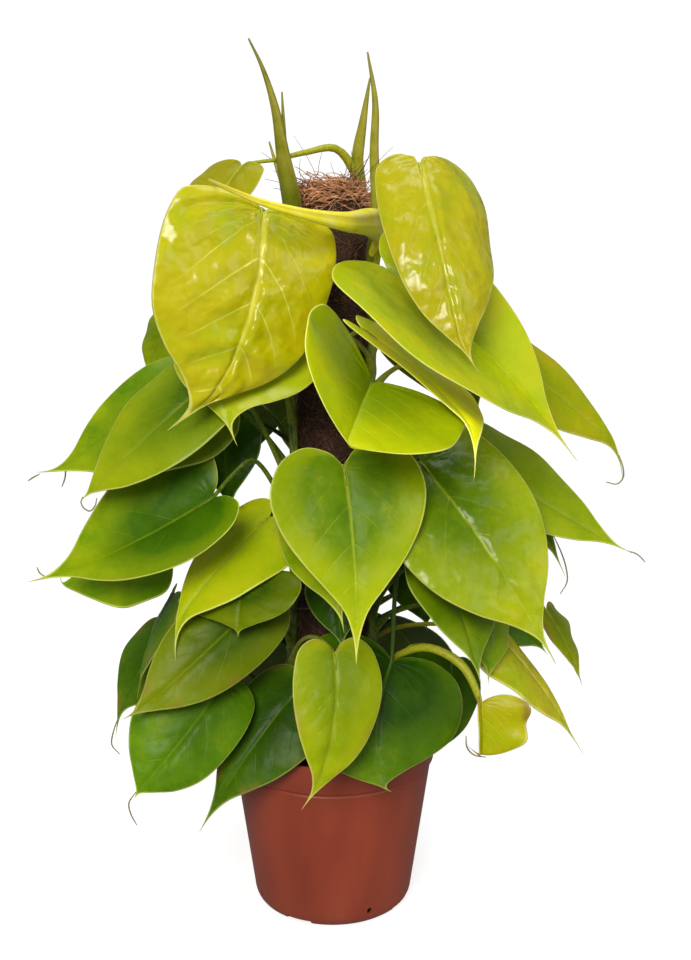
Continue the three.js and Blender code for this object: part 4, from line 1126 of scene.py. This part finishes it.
def crumbs(name, material, count, low, high, rng):
    """Crumbs of bark or perlite on the soil: squashed low spheres in one mesh."""
    bm = bmesh.new()
    for _ in range(count):
        away = lerp(24, 54, math.sqrt(rng.random()))
        spot = heading(rng.uniform(0, 360)) * away
        spot.z = SOIL_TOP + rng.uniform(0.4, 1.6)
        size = rng.uniform(low, high)
        shape = Matrix.LocRotScale(
            spot * MM,
            Euler([rng.uniform(0, math.tau) for _ in range(3)]),
            Vector([size * rng.uniform(0.5, 1.3) * MM for _ in range(3)]),
        )
        bmesh.ops.create_icosphere(bm, subdivisions=1, radius=1, matrix=shape)
    piece(name, bm, [material], "potting_soil")


grow_soil()
bark = fibre_material("bark_crumb", [(0.3, "2a1a10"), (0.7, "7a5334")], 3)
perlite = fibre_material("perlite", [(0.3, "b9b4a6"), (0.7, "eeeae0")], 2)
crumbs("soil_bark", bark, 420, 0.9, 2.8, rng)
crumbs("soil_perlite", perlite, 70, 0.6, 1.5, rng)


# Pot


def grow_pot():
    """The pot from the middle of its underside out, up, over the lip and down inside, with its
    foot notches and drain slots cut out."""
    outer = [(0, RECESS), (FOOT - FOOT_WIDTH - 0.5, RECESS), (FOOT - FOOT_WIDTH, RECESS - 0.5)]
    outer += [(FOOT - FOOT_WIDTH, 0.4), (FOOT - FOOT_WIDTH + 0.4, 0), (FOOT - 0.5, 0), (FOOT + 0.6, 0.2)]
    outer += [(43, 0.9), (44.6, 2.1), (45.8, 3.7), (46.6, 5.5), (47.1, 7.4), (WALL_LOW, CORNER)]
    outer += [(lerp(WALL_LOW, WALL_TOP, k / 12), lerp(CORNER, BAND - 1, k / 12)) for k in range(1, 12)]
    outer += [(58.3, BAND - 2.2), (57.9, BAND - 1.5), (57.9, BAND - 0.8), (58.8, BAND - 0.1)]
    outer += [(59.6, BAND + 0.3), (60, BAND + 0.9), (60.5, 106.1), (60.4, 106.7), (60.0, LIP_HEIGHT)]
    outer += [(59.4, LIP_HEIGHT), (59.0, 106.6), (58.4, 92.6), (57.4, BAND - 1), (46.1, CORNER)]
    outer += [(44.4, 4.9), (39, 3.7), (0, 3.7)]
    bm = lathe(outer, POT_SIDES, lambda spot, radius: Vector())
    pot = piece("fine_pot", bm, [pot_material()], "pot_plastic", "pot")

    cutters = bmesh.new()
    for k in range(NOTCHES):
        turn = NOTCH_TURN + 360 / NOTCHES * k
        place = heading(turn) * (FOOT - 0.5) * MM
        size = Vector((NOTCH_WIDTH, 2 * FOOT_WIDTH, 2 * NOTCH_HEIGHT)) * MM
        shape = Matrix.LocRotScale(place, Euler((0, 0, math.radians(turn))), size)
        bmesh.ops.create_cube(cutters, size=1, matrix=shape)
        turn = DRAIN_TURN + 360 / NOTCHES * k
        place = heading(turn) * WALL_LOW * MM + Vector((0, 0, DRAIN_LEVEL * MM))
        size = Vector((DRAIN_WIDTH, DRAIN_HEIGHT, 12)) * MM
        shape = Matrix.LocRotScale(place, Euler((math.radians(90), 0, math.radians(turn))), size)
        bmesh.ops.create_cone(
            cutters, cap_ends=True, segments=20, radius1=0.5, radius2=0.5, depth=1, matrix=shape
        )
    knife = placed("cutters", meshed("cutters", cutters))
    change = pot.modifiers.new("cut", "BOOLEAN")
    change.object = knife
    change.solver = "EXACT"
    pot.data = applied(pot)
    pot.modifiers.clear()
    bpy.data.objects.remove(knife)
    bm = bmesh.new()
    bm.from_mesh(pot.data)
    for edge in smoothed(bm).edges:
        edge.smooth = len(edge.link_faces) != 2 or edge.calc_face_angle() < SHARP
    bm.to_mesh(pot.data)
    bm.free()


grow_pot()
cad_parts["pole_stake"].material_slots[0].material = wood_material()


# Stage, light and camera


def set_stage():
    """A floor that bends up into a backdrop, in metres."""
    wide, long, front, flat, bend = 8, 6, 1.6, 2.6, 1.2
    bm = bmesh.new()
    for point in grid(bm, 8, 60):
        run = point.co.y * long
        turn = min(max((run - flat) / bend, 0), math.pi / 2)
        over = max(run - flat - bend * math.pi / 2, 0)
        y = min(run, flat) + bend * math.sin(turn)
        point.co = ((point.co.x - 0.5) * wide, y - front, bend * (1 - math.cos(turn)) + over)
    floor = placed("floor", meshed("floor", smoothed(bm)))
    material, _, _ = blank("backlit_white_acrylic")
    wires = {
        "Base Color": linear("b8b8b8"),
        "Roughness": 0.9,
        "Emission Color": linear("ffffff"),
        "Emission Strength": 0.75,
    }
    floor.data.materials.append(skinned(material, wires))
    # The panel lights itself and is seen by the camera only, so the plant keeps its deep shade
    floor.visible_diffuse = False
    floor.visible_glossy = False


def lamp(name, place, aim, size, power, colour):
    """A square lamp at a place in metres, size metres wide, turned towards aim."""
    light = bpy.data.lights.new(name, "AREA")
    light.size, light.energy, light.color = size, power, linear(colour)[:3]
    made = placed(name, light)
    made.location = place
    made.rotation_euler = (Vector(aim) - Vector(place)).to_track_quat("-Z", "Y").to_euler()


set_stage()
lamp("key", (-0.35, -1.95, 1.34), (0, 0, 0.27), 0.8, 39, "fffaf2")
lamp("fill", (1.5, -1.2, 1.1), (0, 0, 0.3), 1.2, 8, "fbfcff")
lamp("top", (0.1, 0.3, 1.9), (0, 0, 0.3), 1.2, 11, "ffffff")
world = bpy.data.worlds.new("studio")
world.use_nodes = True
world.node_tree.nodes["Background"].inputs[0].default_value = linear("ffffff")
world.node_tree.nodes["Background"].inputs[1].default_value = 0.25
bpy.context.scene.world = world
bpy.context.scene.view_settings.view_transform = "Standard"

camera = bpy.data.cameras.new("camera")
camera.lens, camera.sensor_width = 53.8, 36
eye = placed("camera", camera)
eye.location = (0.0076, -0.8, 0.442)
eye.rotation_euler = (math.radians(90 - 13), 0, 0)
bpy.context.scene.camera = eye
